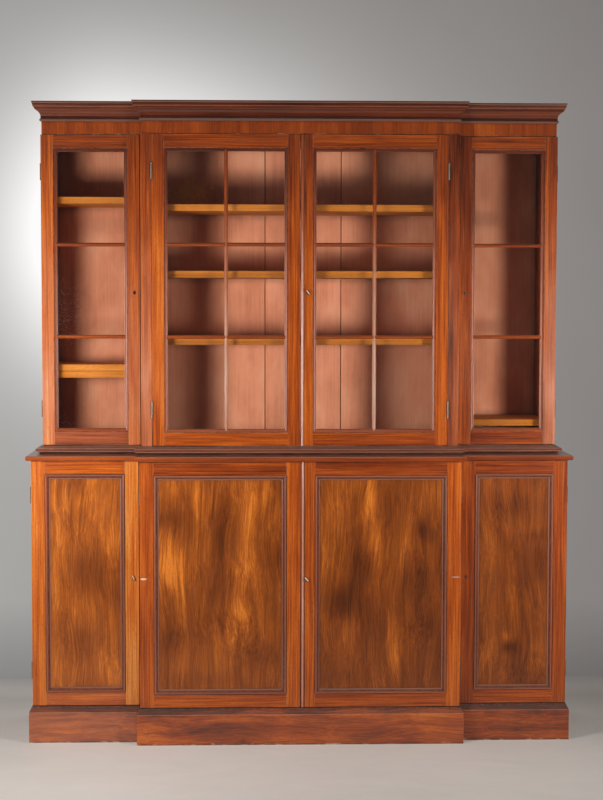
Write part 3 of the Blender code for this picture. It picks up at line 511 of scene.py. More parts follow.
def vector_step(tree, operation, first, second=(0.0, 0.0, 0.0)):
    """One step of arithmetic with vectors"""
    made = node(tree, "ShaderNodeVectorMath", operation=operation)
    feed(tree, made.inputs[0], first)
    feed(tree, made.inputs[1], second)
    return made.outputs


def object_place(tree):
    """Place on a piece, in its object's coordinates"""
    return node(tree, "ShaderNodeTexCoord").outputs["Object"]


def split(tree, vector):
    """X, Y and Z of a vector"""
    made = node(tree, "ShaderNodeSeparateXYZ")
    tree.links.new(vector, made.inputs[0])
    return made.outputs


def span(tree, value, low, high, to_low=0.0, to_high=1.0):
    """Spread a value's range from low to high over another range, held at its ends"""
    made = node(tree, "ShaderNodeMapRange", clamp=True)
    names = ("Value", "From Min", "From Max", "To Min", "To Max")
    for name, source in zip(names, (value, low, high, to_low, to_high)):
        feed(tree, made.inputs[name], source)
    return made.outputs["Result"]


def blend(tree, share, under, over, how="MIX"):
    """Lay one colour over another"""
    made = node(tree, "ShaderNodeMix", data_type="RGBA", blend_type=how)
    feed(tree, made.inputs["Factor"], share)
    feed(tree, made.inputs[6], under)
    feed(tree, made.inputs[7], over)
    return made.outputs[2]


def stretched_noise(tree, vector, stretch, detail=3.0, roughness=0.5, distortion=0.0, output="Fac"):
    """Noise on coordinates that are stretched first"""
    made = node(tree, "ShaderNodeTexNoise")
    tree.links.new(vector_step(tree, "MULTIPLY", vector, stretch)[0], made.inputs["Vector"])
    names = ("Scale", "Detail", "Roughness", "Distortion")
    for name, value in zip(names, (1.0, detail, roughness, distortion)):
        made.inputs[name].default_value = value
    return made.outputs[output]


def ramp(tree, value, stops):
    """Colours along a value"""
    made = node(tree, "ShaderNodeValToRGB")
    elements = made.color_ramp.elements
    while len(elements) < len(stops):
        elements.new(1.0)
    for element, (place, colour) in zip(elements, stops):
        element.position = place
        element.color = (*colour, 1.0)
    tree.links.new(value, made.inputs["Fac"])
    return made.outputs["Color"]


def add_relief(tree, shader, height, strength, distance):
    """Small ups and downs of a surface"""
    bump = node(tree, "ShaderNodeBump")
    bump.inputs["Strength"].default_value = strength
    bump.inputs["Distance"].default_value = distance
    tree.links.new(height, bump.inputs["Height"])
    tree.links.new(bump.outputs["Normal"], shader.inputs["Normal"])


def new_group(name, inputs, outputs):
    """A node group with named sockets"""
    group = bpy.data.node_groups.new(name, "ShaderNodeTree")
    for label, kind, value in inputs:
        socket = group.interface.new_socket(name=label, in_out="INPUT", socket_type=kind)
        if value is not None:
            socket.default_value = value
    for label, kind in outputs:
        group.interface.new_socket(name=label, in_out="OUTPUT", socket_type=kind)
    way_in = group.nodes.new("NodeGroupInput")
    way_out = group.nodes.new("NodeGroupOutput")
    return group, way_in.outputs, way_out.inputs


# Noises of the grain: name, stretch, detail, roughness, distortion, and the range that is used
GRAIN_NOISES = (
    ("Fibre", (4.0, 260.0, 260.0), 4.0, 0.62, 0.0, 0.3, 0.7),
    ("Ribbon", (1.1, 34.0, 34.0), 2.0, 0.5, 0.25, 0.3, 0.7),
    ("Mottle", (4.0, 15.0, 15.0), 3.0, 0.5, 0.6, 0.3, 0.7),
    ("Pore", (60.0, 1100.0, 1100.0), 1.0, 0.5, 0.0, 0.58, 0.70),
)
FLAME_BEND = (0.11, 0.11, 0.11)


def make_grain_group():
    """Fibres, ribbons and open pores of mahogany, along the first coordinate"""
    outputs = [(row[0], FLOAT) for row in GRAIN_NOISES]
    group, given, result = new_group("board_grain", [("Place", VECTOR, None)], outputs)
    for name, stretch, detail, roughness, distortion, low, high in GRAIN_NOISES:
        noise = stretched_noise(group, given["Place"], stretch, detail, roughness, distortion)
        group.links.new(span(group, noise, low, high), result[name])
    return group


def make_flame_group():
    """The flame of crotch veneer: wide bands of light and dark, bent and drawn out"""
    outputs = [("Flame", FLOAT), ("Cloud", FLOAT), ("Bent", VECTOR)]
    group, given, result = new_group("flame_figure", [("Place", VECTOR, None)], outputs)
    bend = stretched_noise(group, given["Place"], (2.0, 3.4, 3.4), detail=2.0, output="Color")
    pull = vector_step(group, "SUBTRACT", bend, (0.5, 0.5, 0.5))[0]
    reach = vector_step(group, "MULTIPLY", pull, FLAME_BEND)[0]
    bent = vector_step(group, "ADD", given["Place"], reach)[0]
    flame = stretched_noise(group, bent, (2.2, 38.0, 38.0), 5.0, 0.62, 0.4)
    cloud = stretched_noise(group, bent, (3.4, 9.0, 9.0), 4.0)
    group.links.new(span(group, flame, 0.28, 0.72), result["Flame"])
    group.links.new(span(group, cloud, 0.34, 0.66), result["Cloud"])
    group.links.new(bent, result["Bent"])
    return group


def make_age_and_light_group():
    """Dirt with painted shade in corners, wear with painted highlight on edges, and dust on top"""
    inputs = [("Corner", FLOAT, 0.010), ("Edge", FLOAT, 0.0012)]
    outputs = [("GrimeAndShade", FLOAT), ("WornAndHighlit", FLOAT), ("Dust", FLOAT)]
    group, given, result = new_group("age", inputs, outputs)
    where = object_place(group)
    # Painted shade, with dirt, where other surfaces close in
    closeness = node(group, "ShaderNodeAmbientOcclusion", samples=6)
    group.links.new(given["Corner"], closeness.inputs["Distance"])
    shut = sum_of(group, "SUBTRACT", 1.0, closeness.outputs["AO"])
    patch = stretched_noise(group, where, (19.0, 19.0, 19.0), 4.0)
    grime_and_shade = times(group, shut, span(group, patch, 0.2, 0.7, 0.5, 1.5))
    group.links.new(span(group, grime_and_shade, 0.06, 0.75), result["GrimeAndShade"])
    # Wear, with a painted highlight, along the edges, broken up by noise
    rounded = node(group, "ShaderNodeBevel", samples=4)
    group.links.new(given["Edge"], rounded.inputs["Radius"])
    plain = node(group, "ShaderNodeNewGeometry").outputs["Normal"]
    close = vector_step(group, "DOT_PRODUCT", rounded.outputs["Normal"], plain)["Value"]
    turned = sum_of(group, "SUBTRACT", 1.0, close)
    scuff = stretched_noise(group, where, (60.0, 60.0, 60.0))
    worn_and_highlit = times(group, span(group, turned, 0.01, 0.14), span(group, scuff, 0.34, 0.60))
    group.links.new(worn_and_highlit, result["WornAndHighlit"])
    drift = stretched_noise(group, where, (45.0, 45.0, 45.0), 5.0, 0.7)
    upward = span(group, split(group, plain)["Z"], 0.25, 0.95)
    group.links.new(times(group, upward, span(group, drift, 0.35, 0.75)), result["Dust"])
    return group


def make_ellipse_mark_group():
    """A mark at a place and size: scrapes, dirt, painted shadows and a painted reflection"""
    inputs = [(name, VECTOR, None) for name in ("Place", "Centre", "Size")]
    inputs.append(("Broken", FLOAT, 0.9))
    group, given, result = new_group("ellipse_mark", inputs, [("Share", FLOAT)])
    away = vector_step(group, "SUBTRACT", given["Place"], given["Centre"])[0]
    shares = vector_step(group, "DIVIDE", away, given["Size"])[0]
    length = vector_step(group, "LENGTH", shares)["Value"]
    rough = stretched_noise(group, given["Place"], (150.0, 150.0, 500.0))
    inside = swayed(group, length, rough, given["Broken"])
    group.links.new(span(group, inside, 0.70, 1.0, 0.92, 0.0), result["Share"])
    return group


GRAIN = make_grain_group()
FLAME = make_flame_group()
AGE_AND_LIGHT = make_age_and_light_group()
ELLIPSE_MARK = make_ellipse_mark_group()

# Colours of polished mahogany, from its darkest streak to its palest board
MAHOGANY = (
    (0.0, (0.055, 0.009, 0.003)),
    (0.22, (0.190, 0.030, 0.005)),
    (0.42, (0.350, 0.060, 0.006)),
    (0.60, (0.520, 0.104, 0.008)),
    (0.80, (0.660, 0.170, 0.018)),
    (1.0, (0.800, 0.300, 0.060)),
)
FLAME_COLOURS = (
    (0.0, (0.070, 0.015, 0.003)),
    (0.30, (0.175, 0.038, 0.005)),
    (0.55, (0.290, 0.068, 0.008)),
    (0.80, (0.470, 0.118, 0.012)),
    (1.0, (0.700, 0.205, 0.024)),
)
# A bead that the hands' rubbing has made pale, with a painted highlight
RUBBED_SHEEN = (
    (0.0, (0.120, 0.020, 0.005)),
    (0.45, (0.420, 0.100, 0.030)),
    (1.0, (0.860, 0.560, 0.470)),
)
PINE = (
    (0.0, (0.230, 0.060, 0.006)),
    (0.5, (0.620, 0.190, 0.014)),
    (1.0, (0.860, 0.350, 0.065)),
)
PAINT_COLOURS = (
    (0.0, (0.400, 0.128, 0.066)),
    (0.5, (0.760, 0.300, 0.165)),
    (1.0, (0.900, 0.480, 0.310)),
)
PAINT_GRIME_AND_SHADE = (0.05, 0.02, 0.014)
PORE_COLOUR = (0.045, 0.010, 0.003)
WORN_AND_HIGHLIT_COLOUR = (0.560, 0.290, 0.190)
GRIME_AND_SHADE_COLOUR = (0.016, 0.007, 0.004)
DUST_COLOUR = (0.200, 0.150, 0.120)
SHEEN_FADE_COLOUR = (0.720, 0.440, 0.330)
CHIP_COLOUR = (0.440, 0.300, 0.200)
SCRAPE_COLOUR = (0.480, 0.350, 0.290)
SHADOW_AND_DIRT_COLOUR = (0.022, 0.010, 0.006)
# Where the keys of the wing doors have met the opened centre doors: middle, half size and colour
SCRAPES = (
    ((-0.586, -0.230, 0.6255), (0.015, 0.02, 0.0036), (0.800, 0.640, 0.520)),
    # The painted shadow that the left wing's key casts onto the centre door beside it
    ((-0.603, -0.230, 0.6262), (0.006, 0.02, 0.0026), SHADOW_AND_DIRT_COLOUR),
    ((0.580, -0.230, 0.6292), (0.018, 0.02, 0.0022), SCRAPE_COLOUR),
)
# Marks on the paint of the back: middle, half size, colour, and how broken up they are.  The gold
# one is a painted reflection, the pale ones are lime showing through the paint.  Each has its
# middle in front of the boards, so that only its thickest specks reach them.
PAINT_MARKS = (
    ((-0.428, 0.02, 2.080), (0.075, 0.30, 0.048), (1.000, 0.560, 0.050), 5.0),
    ((-0.921, -0.12, 1.610), (0.060, 0.30, 0.130), (1.000, 0.900, 0.850), 4.6),
    ((-0.926, -0.10, 1.170), (0.036, 0.30, 0.036), (1.000, 0.900, 0.850), 4.6),
)


def new_finish(name, roughness, metallic=0.0):
    """A material with its plain shader"""
    material = bpy.data.materials.new(name)
    material.use_nodes = True
    tree = material.node_tree
    shader = tree.nodes["Principled BSDF"]
    shader.inputs["Roughness"].default_value = roughness
    shader.inputs["Metallic"].default_value = metallic
    return material, tree, shader


def place_group(tree, group, **inputs):
    """Put a node group in a material"""
    made = node(tree, "ShaderNodeGroup", node_tree=group)
    for name, source in inputs.items():
        feed(tree, made.inputs[name], source)
    return made.outputs


def attribute(tree, name, output):
    """Read an attribute of the piece"""
    return node(tree, "ShaderNodeAttribute", attribute_name=name).outputs[output]


# Painted light on the frames by height: painted shade towards the cornice, painted sheen below
# that, and less sheen again lower down towards the waist
SHADED_HEIGHTS, SHADE = (1.75, 2.25), -0.22
SHEEN_HEIGHTS = (2.0, 1.35)
LOW_SHEEN_HEIGHTS, LOW_SHEEN_SHARE = (1.0, 1.3), 0.3
# How much a flame panel's light and dark places follow its flame, and how much is even
FIGURE_BY_FLAME = (1.2, 0.35)
COAT_ROUGHNESS = 0.14


def paint_light_by_height(tree, level, fade, mottle):
    """The level and the painted sheen of a frame by height, with painted shade towards the cornice
    """
    height = split(tree, object_place(tree))["Z"]
    level = sum_of(tree, "ADD", level, span(tree, height, *SHADED_HEIGHTS, 0.0, SHADE))
    low_sheen = span(tree, height, *LOW_SHEEN_HEIGHTS, LOW_SHEEN_SHARE, 1.0)
    sheen_share = times(tree, span(tree, height, *SHEEN_HEIGHTS), low_sheen)
    sheen_share = times(tree, sheen_share, span(tree, mottle, 0.0, 1.0, 0.5, 1.5))
    return level, times(tree, fade, sheen_share)


def polished_wood(name, colours, fibre=0.30, ribbon=0.24, mottle=0.10, flame=0.0, cloud=0.0,
                  grime_and_shade=0.75, dust=0.35, worn_and_highlit=0.45, roughness=0.36, lift=0.0, chips=(), marks=(),
                  coat=0.0, corner=0.010, edge=0.0022, figured=False, painted_light_by_height=False):
    """Old polished wood, its colour led by each board's tone"""
    material, tree, shader = new_finish(name, roughness)
    shader.inputs["Coat Weight"].default_value = coat
    shader.inputs["Coat Roughness"].default_value = COAT_ROUGHNESS
    place = attribute(tree, "grain", "Vector")
    level = attribute(tree, "tone", "Fac")
    if flame or cloud:
        figure = place_group(tree, FLAME, Place=place)
        place = figure["Bent"]
        level = swayed(tree, level, figure["Flame"], flame)
        level = swayed(tree, level, figure["Cloud"], cloud)
        if figured:
            streaked = sum_of(tree, "MULTIPLY_ADD", figure["Flame"], *FIGURE_BY_FLAME)
            level = sum_of(tree, "MULTIPLY_ADD", attribute(tree, "figure", "Fac"), streaked, level)
    grain = place_group(tree, GRAIN, Place=place)
    for word, amount in (("Fibre", fibre), ("Ribbon", ribbon), ("Mottle", mottle)):
        level = swayed(tree, level, grain[word], amount)
    fade = attribute(tree, "fade", "Fac")
    if painted_light_by_height:
        level, fade = paint_light_by_height(tree, level, fade, grain["Mottle"])
    colour = ramp(tree, sum_of(tree, "ADD", level, lift, clamp=True), colours)
    colour = blend(tree, times(tree, grain["Pore"], 0.5), colour, PORE_COLOUR)
    # Pale grey painted sheen, with faded polish
    colour = blend(tree, fade, colour, SHEEN_FADE_COLOUR)
    age = place_group(tree, AGE_AND_LIGHT, Corner=corner, Edge=edge)
    # Wear and painted highlight on edges, dirt and painted shade in corners, and dust on top
    for word, amount, cover in (
        ("WornAndHighlit", worn_and_highlit, WORN_AND_HIGHLIT_COLOUR), ("GrimeAndShade", grime_and_shade, GRIME_AND_SHADE_COLOUR), ("Dust", dust, DUST_COLOUR)
    ):
        colour = blend(tree, times(tree, age[word], amount), colour, cover)
    for chip in chips:
        colour = blend(tree, chipped(tree, *chip), colour, CHIP_COLOUR)
    for mark in marks:
        colour = marked(tree, colour, *mark)
    tree.links.new(colour, shader.inputs["Base Color"])
    matt = sum_of(tree, "MULTIPLY_ADD", age["Dust"], 0.3, roughness - 0.04)
    matt = sum_of(tree, "MULTIPLY_ADD", grain["Mottle"], 0.08, matt)
    tree.links.new(matt, shader.inputs["Roughness"])
    add_relief(tree, shader, sum_of(tree, "SUBTRACT", grain["Fibre"], grain["Pore"]), 0.25, 0.0002)
    return material


def marked(tree, colour, centre, size, mark_colour, broken=0.9):
    """A mark laid over a colour: scrapes, dirt, painted shadows and a painted reflection"""
    mark = place_group(
        tree, ELLIPSE_MARK, Place=object_place(tree), Centre=centre, Size=size, Broken=broken)
    return blend(tree, mark["Share"], colour, mark_colour)


def chipped(tree, edge, reach, amount):
    """Chips and splinters near a level edge, at a height"""
    where = object_place(tree)
    away = sum_of(tree, "ABSOLUTE", sum_of(tree, "SUBTRACT", split(tree, where)["Z"], edge))
    flakes = stretched_noise(tree, where, (26.0, 26.0, 120.0), 4.0, 0.7)
    closeness = span(tree, away, 0.0, reach, 1.0, 0.0)
    broken = times(tree, closeness, span(tree, flakes, 1 - amount, 1.0))
    return span(tree, broken, 0.10, 0.16)


def painted_board_finish():
    """Chalky terracotta paint, brushed along the boards and rubbed thin"""
    material, tree, shader = new_finish("painted_back", 0.82)
    place = attribute(tree, "grain", "Vector")
    brush = stretched_noise(tree, place, (3.5, 170.0, 170.0), 4.0, 0.65)
    patch = stretched_noise(tree, place, (4.0, 7.0, 7.0), 5.0, 0.6)
    level = swayed(tree, attribute(tree, "tone", "Fac"), brush, 0.45)
    colour = ramp(tree, swayed(tree, level, patch, 1.1, clamp=True), PAINT_COLOURS)
    age = place_group(tree, AGE_AND_LIGHT, Corner=0.03)
    # Painted shade, with dirt, where other boards close in on the back
    colour = blend(tree, times(tree, age["GrimeAndShade"], 0.6), colour, PAINT_GRIME_AND_SHADE)
    for mark in PAINT_MARKS:
        colour = marked(tree, colour, *mark)
    tree.links.new(colour, shader.inputs["Base Color"])
    add_relief(tree, shader, brush, 0.35, 0.0004)
    return material


def metal_finish(name, colour, dull, roughness, metallic=1.0):
    """Handled metal, brighter where hands polish it and dull in its corners"""
    material, tree, shader = new_finish(name, roughness, metallic)
    spots = stretched_noise(tree, object_place(tree), (420.0, 420.0, 420.0), 4.0)
    age = place_group(tree, AGE_AND_LIGHT, Corner=0.003, Edge=0.0004)
    share = sum_of(tree, "MAXIMUM", span(tree, spots, 0.45, 0.75), age["GrimeAndShade"])
    tree.links.new(blend(tree, share, colour, dull), shader.inputs["Base Color"])
    matt = span(tree, share, 0.0, 1.0, roughness, roughness + 0.25)
    tree.links.new(matt, shader.inputs["Roughness"])
    return material


def glass_finish():
    """Old window glass, a little wavy; lamps shine through it"""
    material, tree, shader = new_finish("glass", 0.02)
    shader.inputs["Base Color"].default_value = (0.97, 0.99, 0.98, 1.0)
    shader.inputs["Transmission Weight"].default_value = 1.0
    shader.inputs["IOR"].default_value = 1.45
    shadow = node(tree, "ShaderNodeLightPath").outputs["Is Shadow Ray"]
    tree.links.new(sum_of(tree, "SUBTRACT", 1.0, shadow), shader.inputs["Alpha"])
    wave = stretched_noise(tree, object_place(tree), (5.0, 1.0, 3.0), 1.0)
    add_relief(tree, shader, wave, 0.08, 0.002)
    return material


MOULDED = {
    "fibre": 0.20, "ribbon": 0.12, "grime_and_shade": 0.85, "roughness": 0.32, "coat": 0.6, "corner": 0.006,
    "edge": 0.0016,
}
GLASS_MOULDING_WOOD = polished_wood(
    "glass_moulding_mahogany", MAHOGANY, dust=0.6, worn_and_highlit=0.7, painted_light_by_height=True, **MOULDED)
MOULDING_WOOD = polished_wood(
    "moulding_mahogany", MAHOGANY, dust=0.75, worn_and_highlit=0.75, **MOULDED,
    chips=((WAIST_EDGE, 0.0035, 0.38), (BASE_EDGE, 0.0030, 0.40)))
RUBBED_SHEEN_WOOD = polished_wood(
    "rubbed_sheen_bead", RUBBED_SHEEN, fibre=0.20, ribbon=0.16, grime_and_shade=0.8, worn_and_highlit=0.0, roughness=0.30, coat=0.6)
PLINTH_WOOD = polished_wood(
    "plinth_mahogany", MAHOGANY, fibre=0.36, ribbon=0.10, flame=0.40, cloud=0.40, grime_and_shade=0.8,
    dust=0.45, worn_and_highlit=0.8, roughness=0.44, coat=0.2,
    chips=((0.0, 0.012, 0.52), (PLINTH_EDGE, 0.0035, 0.40)))
FRIEZE_WOOD = polished_wood(
    "frieze_veneer", MAHOGANY, fibre=0.22, ribbon=0.16, mottle=0.16,
    chips=((FRIEZE_FLOOR, 0.004, 0.50),))
FLAME_WOOD = polished_wood(
    "flame_mahogany", FLAME_COLOURS, fibre=0.44, ribbon=0.12, mottle=0.06, flame=0.36, cloud=0.20,
    roughness=0.34, figured=True)
CARCASS_WOOD = polished_wood(
    "carcass_mahogany", MAHOGANY, fibre=0.20, ribbon=0.22, roughness=0.50, lift=-0.10)
PINE_WOOD = polished_wood(
    "shelf_pine", PINE, fibre=0.30, ribbon=0.40, grime_and_shade=0.5, dust=0.1, worn_and_highlit=0.2, roughness=0.55)
PAINT = painted_board_finish()
BRASS = metal_finish("brass", (0.50, 0.45, 0.36), (0.20, 0.15, 0.10), 0.42)
# Dull brass, darkened as painted shade for hinges and linings that stand in shadow
SHADED_DULL_BRASS = metal_finish("shaded_dull_brass", (0.26, 0.19, 0.11), (0.10, 0.07, 0.04), 0.55)
STEEL = metal_finish("steel", (0.96, 0.95, 0.92), (0.60, 0.57, 0.52), 0.36, 0.30)
GLASS = glass_finish()


# ---------------------------------------------------------------- mouldings round the breakfront

def breakfront(stage, out, back):
    """Plan corners of the stepped front, moved outwards by one distance all round"""
    half_wing = stage.half_wing + out
    half_centre = stage.half_centre + out
    left = [
        (-half_wing, back),
        (-half_wing, stage.wing - out),
        (-half_centre, stage.wing - out),
        (-half_centre, stage.centre - out),
    ]
    return left + [(-x, y) for x, y in reversed(left)]


def run_round(piece, section, stage, floor, tones, lines, fades, grain_up):
    """Mitred lengths of one moulding, along both ends and the stepped front"""
    plan = [Vector((x, y, floor)) for x, y in breakfront(stage, 0, BACK)]
    over = max(abs(out) for out, up in section) + EASE
    ways = [(end - start).normalized() for start, end in zip(plan, plan[1:])]
    neighbours = [Vector(), *ways, Vector()]
    for index, way in enumerate(ways):
        start, end = plan[index], plan[index + 1]
        outwards = Vector((way.y, -way.x, 0))
        length = moulding_length(section, start, end, outwards, Z_AXIS, over)
        saw(length, start, -(way + neighbours[index]))
        saw(length, end, way + neighbours[index + 2])
        fibres = Z_AXIS if grain_up else way
        faces = piece.add(length, fibres, tones[index], 0, outwards, fades[index])
        shown = [face for face in faces if face.normal.dot(outwards) > -0.5]
        piece.line(shown, (0, 0, floor), Z_AXIS, lines)


def with_back(face, depth):
    """Close a moulded face with a flat back"""
    return face + [(-depth, face[-1][1]), (-depth, face[0][1])]


PLINTH_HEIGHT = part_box("plinth")[1].z
PLINTH_FACE = (
    [(0.013, 0.0), (0.013, 0.1135), (0.0118, 0.1147), (0.0118, 0.1160)]
    + smooth_line([
        (0.0116, 0.1166), (0.0106, 0.1200), (0.0078, 0.1240), (0.0056, 0.1280), (0.0046, 0.1320),
    ])
    + [(0.0026, 0.1330), (0.0026, PLINTH_HEIGHT)]
)
WAIST_FACE = smooth_line([
    (0.0128, 0.0), (0.0166, 0.0016), (0.0178, 0.0060), (0.0178, 0.0112), (0.0166, 0.0156),
    (0.0126, 0.0180),
])
BASE_FACE = (
    smooth_line([(0.0100, 0.0), (0.0118, 0.0034), (0.0158, 0.0068), (0.0216, 0.0086)])
    + [(0.0232, 0.0090), (0.0238, 0.0098), (0.0240, 0.0110)]
    + [(0.0240, 0.0192), (0.0236, 0.0202), (0.0222, 0.0208)]
    + smooth_line([(0.0205, 0.0212), (0.0140, 0.0236), (0.0080, 0.0268), (0.0040, 0.0300)])
)
CORNICE_FACE = (
    smooth_line([
        (0.0030, 0.0), (0.0056, 0.0014), (0.0069, 0.0052), (0.0056, 0.0090), (0.0030, 0.0106),
    ])
    + [(0.0030, 0.0200)]
    + smooth_line([
        (0.0036, 0.0214), (0.0048, 0.0270), (0.0086, 0.0336), (0.0142, 0.0382), (0.0196, 0.0416),
        (0.0236, 0.0462), (0.0262, 0.0520),
    ])
    + [(0.0288, 0.0530), (0.0290, 0.0546)]
    + smooth_line([(0.0294, 0.0556), (0.0300, 0.0600), (0.0318, 0.0650), (0.0334, 0.0690)])
    + [(0.0335, 0.0700), (0.0335, 0.0722), (0.0330, 0.0727)]
)
FRIEZE_FACE = [(0, 0), (0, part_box("frieze")[1].z - FRIEZE_FLOOR)]

# Strips of the mouldings: lowest and highest place, tone, and how much grey painted sheen.  The
# dark strips are painted shade, the grey ones painted highlights.
PLINTH_LINES = (
    (0.1130, 0.1162, 0.40, 0.20), (0.1162, 0.1300, 0.14, 0.05), (0.1301, 0.1400, 0.04, 0.02),
)
WAIST_LINES = ((0.0145, 0.0181, 0.30, 0.16),)
BASE_LINES = (
    (-0.001, 0.0070, 0.04, 0.10), (0.0070, 0.0105, 0.24, 0.42), (0.0105, 0.0190, 0.10, 0.05),
    (0.0191, 0.0212, 0.16, 0.30), (0.0213, 0.0301, 0.04, 0.10),
)
CORNICE_LINES = (
    (0.0002, 0.0095, 0.06, 0.16), (0.0100, 0.0202, 0.0, 0.0), (0.0345, 0.0390, 0.0, 0.10),
    (0.0425, 0.0515, 0.12, 0.0), (0.0521, 0.0550, 0.04, 0.18), (0.0600, 0.0640, 0.0, 0.0),
    (0.0641, 0.0692, 0.05, 0.18), (0.0695, 0.0726, 0.0, 0.0),
)


# What runs round the breakfront: its node and piece, the plan it follows, its face and the depth
# behind it, the tones and painted sheen of its seven lengths, its strips, its wood and its slot.
# One with a field has a level board behind it, and the others have a rail along the wall.
Run = namedtuple("Run", "node piece stage face depth tones fades lines wood slot field")
EVEN_SHEEN_FADES = (0.0,) * 7
FIELD_TONE, RAIL_TONE = 0.30, 0.30
RUNS = (
    Run("plinth", "plinth_boards", LOWER, PLINTH_FACE, PLINTH_BOARD,
        (0.42, 0.40, 0.44, 0.46, 0.44, 0.43, 0.42), (0.05, 0.14, 0.1, 0.04, 0.03, 0.03, 0.03),
        PLINTH_LINES, PLINTH_WOOD, "moulding_mahogany", False),
    Run("waist_board", "waist_lip", LOWER, WAIST_FACE, FIELD_INSET,
        (0.40, 0.44, 0.38, 0.32, 0.28, 0.24, 0.22), EVEN_SHEEN_FADES,
        WAIST_LINES, MOULDING_WOOD, "moulding_mahogany", True),
    Run("upper_base", "upper_base_edge", UPPER, BASE_FACE, FIELD_INSET,
        (0.34, 0.40, 0.36, 0.34, 0.32, 0.34, 0.32), EVEN_SHEEN_FADES,
        BASE_LINES, MOULDING_WOOD, "moulding_mahogany", True),
    Run("frieze", "frieze_boards", FRIEZE, FRIEZE_FACE, FRIEZE_BOARD,
        (0.38, 0.41, 0.38, 0.37, 0.37, 0.39, 0.36), EVEN_SHEEN_FADES,
        (), FRIEZE_WOOD, "frieze_veneer", False),
    Run("cornice", "cornice_lengths", FRIEZE, CORNICE_FACE, FRIEZE_BOARD,
        (0.14, 0.14, 0.12, 0.11, 0.12, 0.20, 0.14), (0.05, 0.04, 0.02, 0.0, 0.0, 0.03, 0.03),
        CORNICE_LINES, MOULDING_WOOD, "moulding_mahogany", False),
)


def dress_mouldings():
    """Plinth, waist, base, frieze and cornice"""
    for run in RUNS:
        low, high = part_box(run.node)
        piece = Piece(run.piece)
        section = with_back(run.face, run.depth)
        grain_up = run.wood is FRIEZE_WOOD
        run_round(piece, section, run.stage, low.z, run.tones, run.lines, run.fades, grain_up)
        if run.field:
            field = slab(breakfront(run.stage, -run.depth, BACK), low.z, low.z + run.face[-1][1])
            piece.add(field, X_AXIS, FIELD_TONE, 0, Z_AXIS)
        else:
            half = run.stage.half_wing - run.depth
            rail = plank((-half, BACK - run.depth, low.z), (half, BACK, high.z))
            piece.add(rail, X_AXIS, RAIL_TONE)
        piece.finish([run.wood], "cabinet", run.slot, [run.node])


# ---------------------------------------------------------------- case boards

def case_front(face):
    """Front edge of the boards that a door closes on"""
    return face + DOOR_THICKNESS + JOINT_GAP


def inner_plan(stage):
    """Plan of a floor or top that lies between the sides and in front of the back"""
    half_wing = stage.half_wing - BOARD - SEAT
    back = BACK - BACK_BOARD - SEAT
    left = [
        (-half_wing, back),
        (-half_wing, case_front(stage.wing)),
        (-stage.half_centre, case_front(stage.wing)),
        (-stage.half_centre, case_front(stage.centre)),
    ]
    return left + [(-x, y) for x, y in reversed(left)]


def side_plank(side, x_span, y_span, z_span):
    """A board on one side of the middle, from spans of the right-hand half"""
    xs = sorted(side * x for x in x_span)
    return plank((xs[0], y_span[0], z_span[0]), (xs[1], y_span[1], z_span[1]))


def dress_upright(name, stage, side, glazed):
    """One upright between wing and centre: its board, its stops and, above, the fixed strip"""
    low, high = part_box(name)
    outer = stage.half_centre
    back = BACK - BACK_BOARD - SEAT
    wing_front = case_front(stage.wing)
    centre_front = case_front(stage.centre)
    z_span = (low.z, high.z)
    head = high.z - BOARD - SEAT if glazed else high.z
    piece = Piece(name + "_boards")
    board = side_plank(side, (outer - BOARD, outer), (centre_front, back), (low.z, head))
    wing = find_door(glazed, side, False)
    piece.add(cut_out(board, [mortise(find_lock(wing), BREAK_GAP)]), tone=UPRIGHT_TONE, show=X_AXIS)
    y_span = (wing_front, wing_front + STOP_DEPTH)
    piece.add(side_plank(side, (outer, outer + STOP_WIDTH), y_span, (low.z, head)), tone=STOP_TONE)
    if glazed:
        strip = outer - STRIP_WIDTH
        y_span = (stage.centre, centre_front)
        board = side_plank(side, (strip, outer), y_span, z_span)
        piece.add(board, tone=STRIP_TONES[side], fade=STRIP_SHEEN_FADES[side])
        y_span = (centre_front, centre_front + STOP_DEPTH)
        x_span = (strip - STOP_WIDTH, outer - BOARD)
        piece.add(side_plank(side, x_span, y_span, (low.z, head)), tone=STOP_TONE)
    slot = "frame_mahogany" if glazed else "carcass_mahogany"
    piece.finish([FRAME_WOOD if glazed else CARCASS_WOOD], "cabinet", slot, [name])


def dress_back(name):
    """The boarded back, painted on the inside of the upper case"""
    low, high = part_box(name)
    painted = name == "upper_back"
    edges = [low.x, *BACK_JOINTS, high.x]
    piece = Piece(name + "_boards")
    half_gap = BACK_JOINT_GAP / 2
    for index, (left, right) in enumerate(zip(edges, edges[1:])):
        start, end = left + half_gap, right - half_gap
        board = plank((start, low.y, low.z), (end, high.y, high.z), BACK_EASE)
        tone = BACK_TONE + BACK_TONE_SWING * math.sin(index * BACK_TONE_STEP)
        for face in piece.add(board, Z_AXIS, tone):
            if face.normal.y > 0.5 or not painted:
                face.material_index = 1
    cover = block((low.x, high.y - COVER_FRONT, low.z), (high.x, high.y - COVER_BACK, high.z))
    piece.add(cover, Z_AXIS, COVER_TONE, 1)
    piece.finish([PAINT, CARCASS_WOOD], "cabinet", "painted_back", [name])


def dress_shelf(name, tone):
    """A loose shelf, rubbed along its edges"""
    low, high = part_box(name)
    piece = Piece(name + "_board")
    piece.add(plank(low, high, SHELF_EASE), X_AXIS, tone, 0, Z_AXIS)
    piece.finish([PINE_WOOD], "cabinet", "shelf_pine", [name])


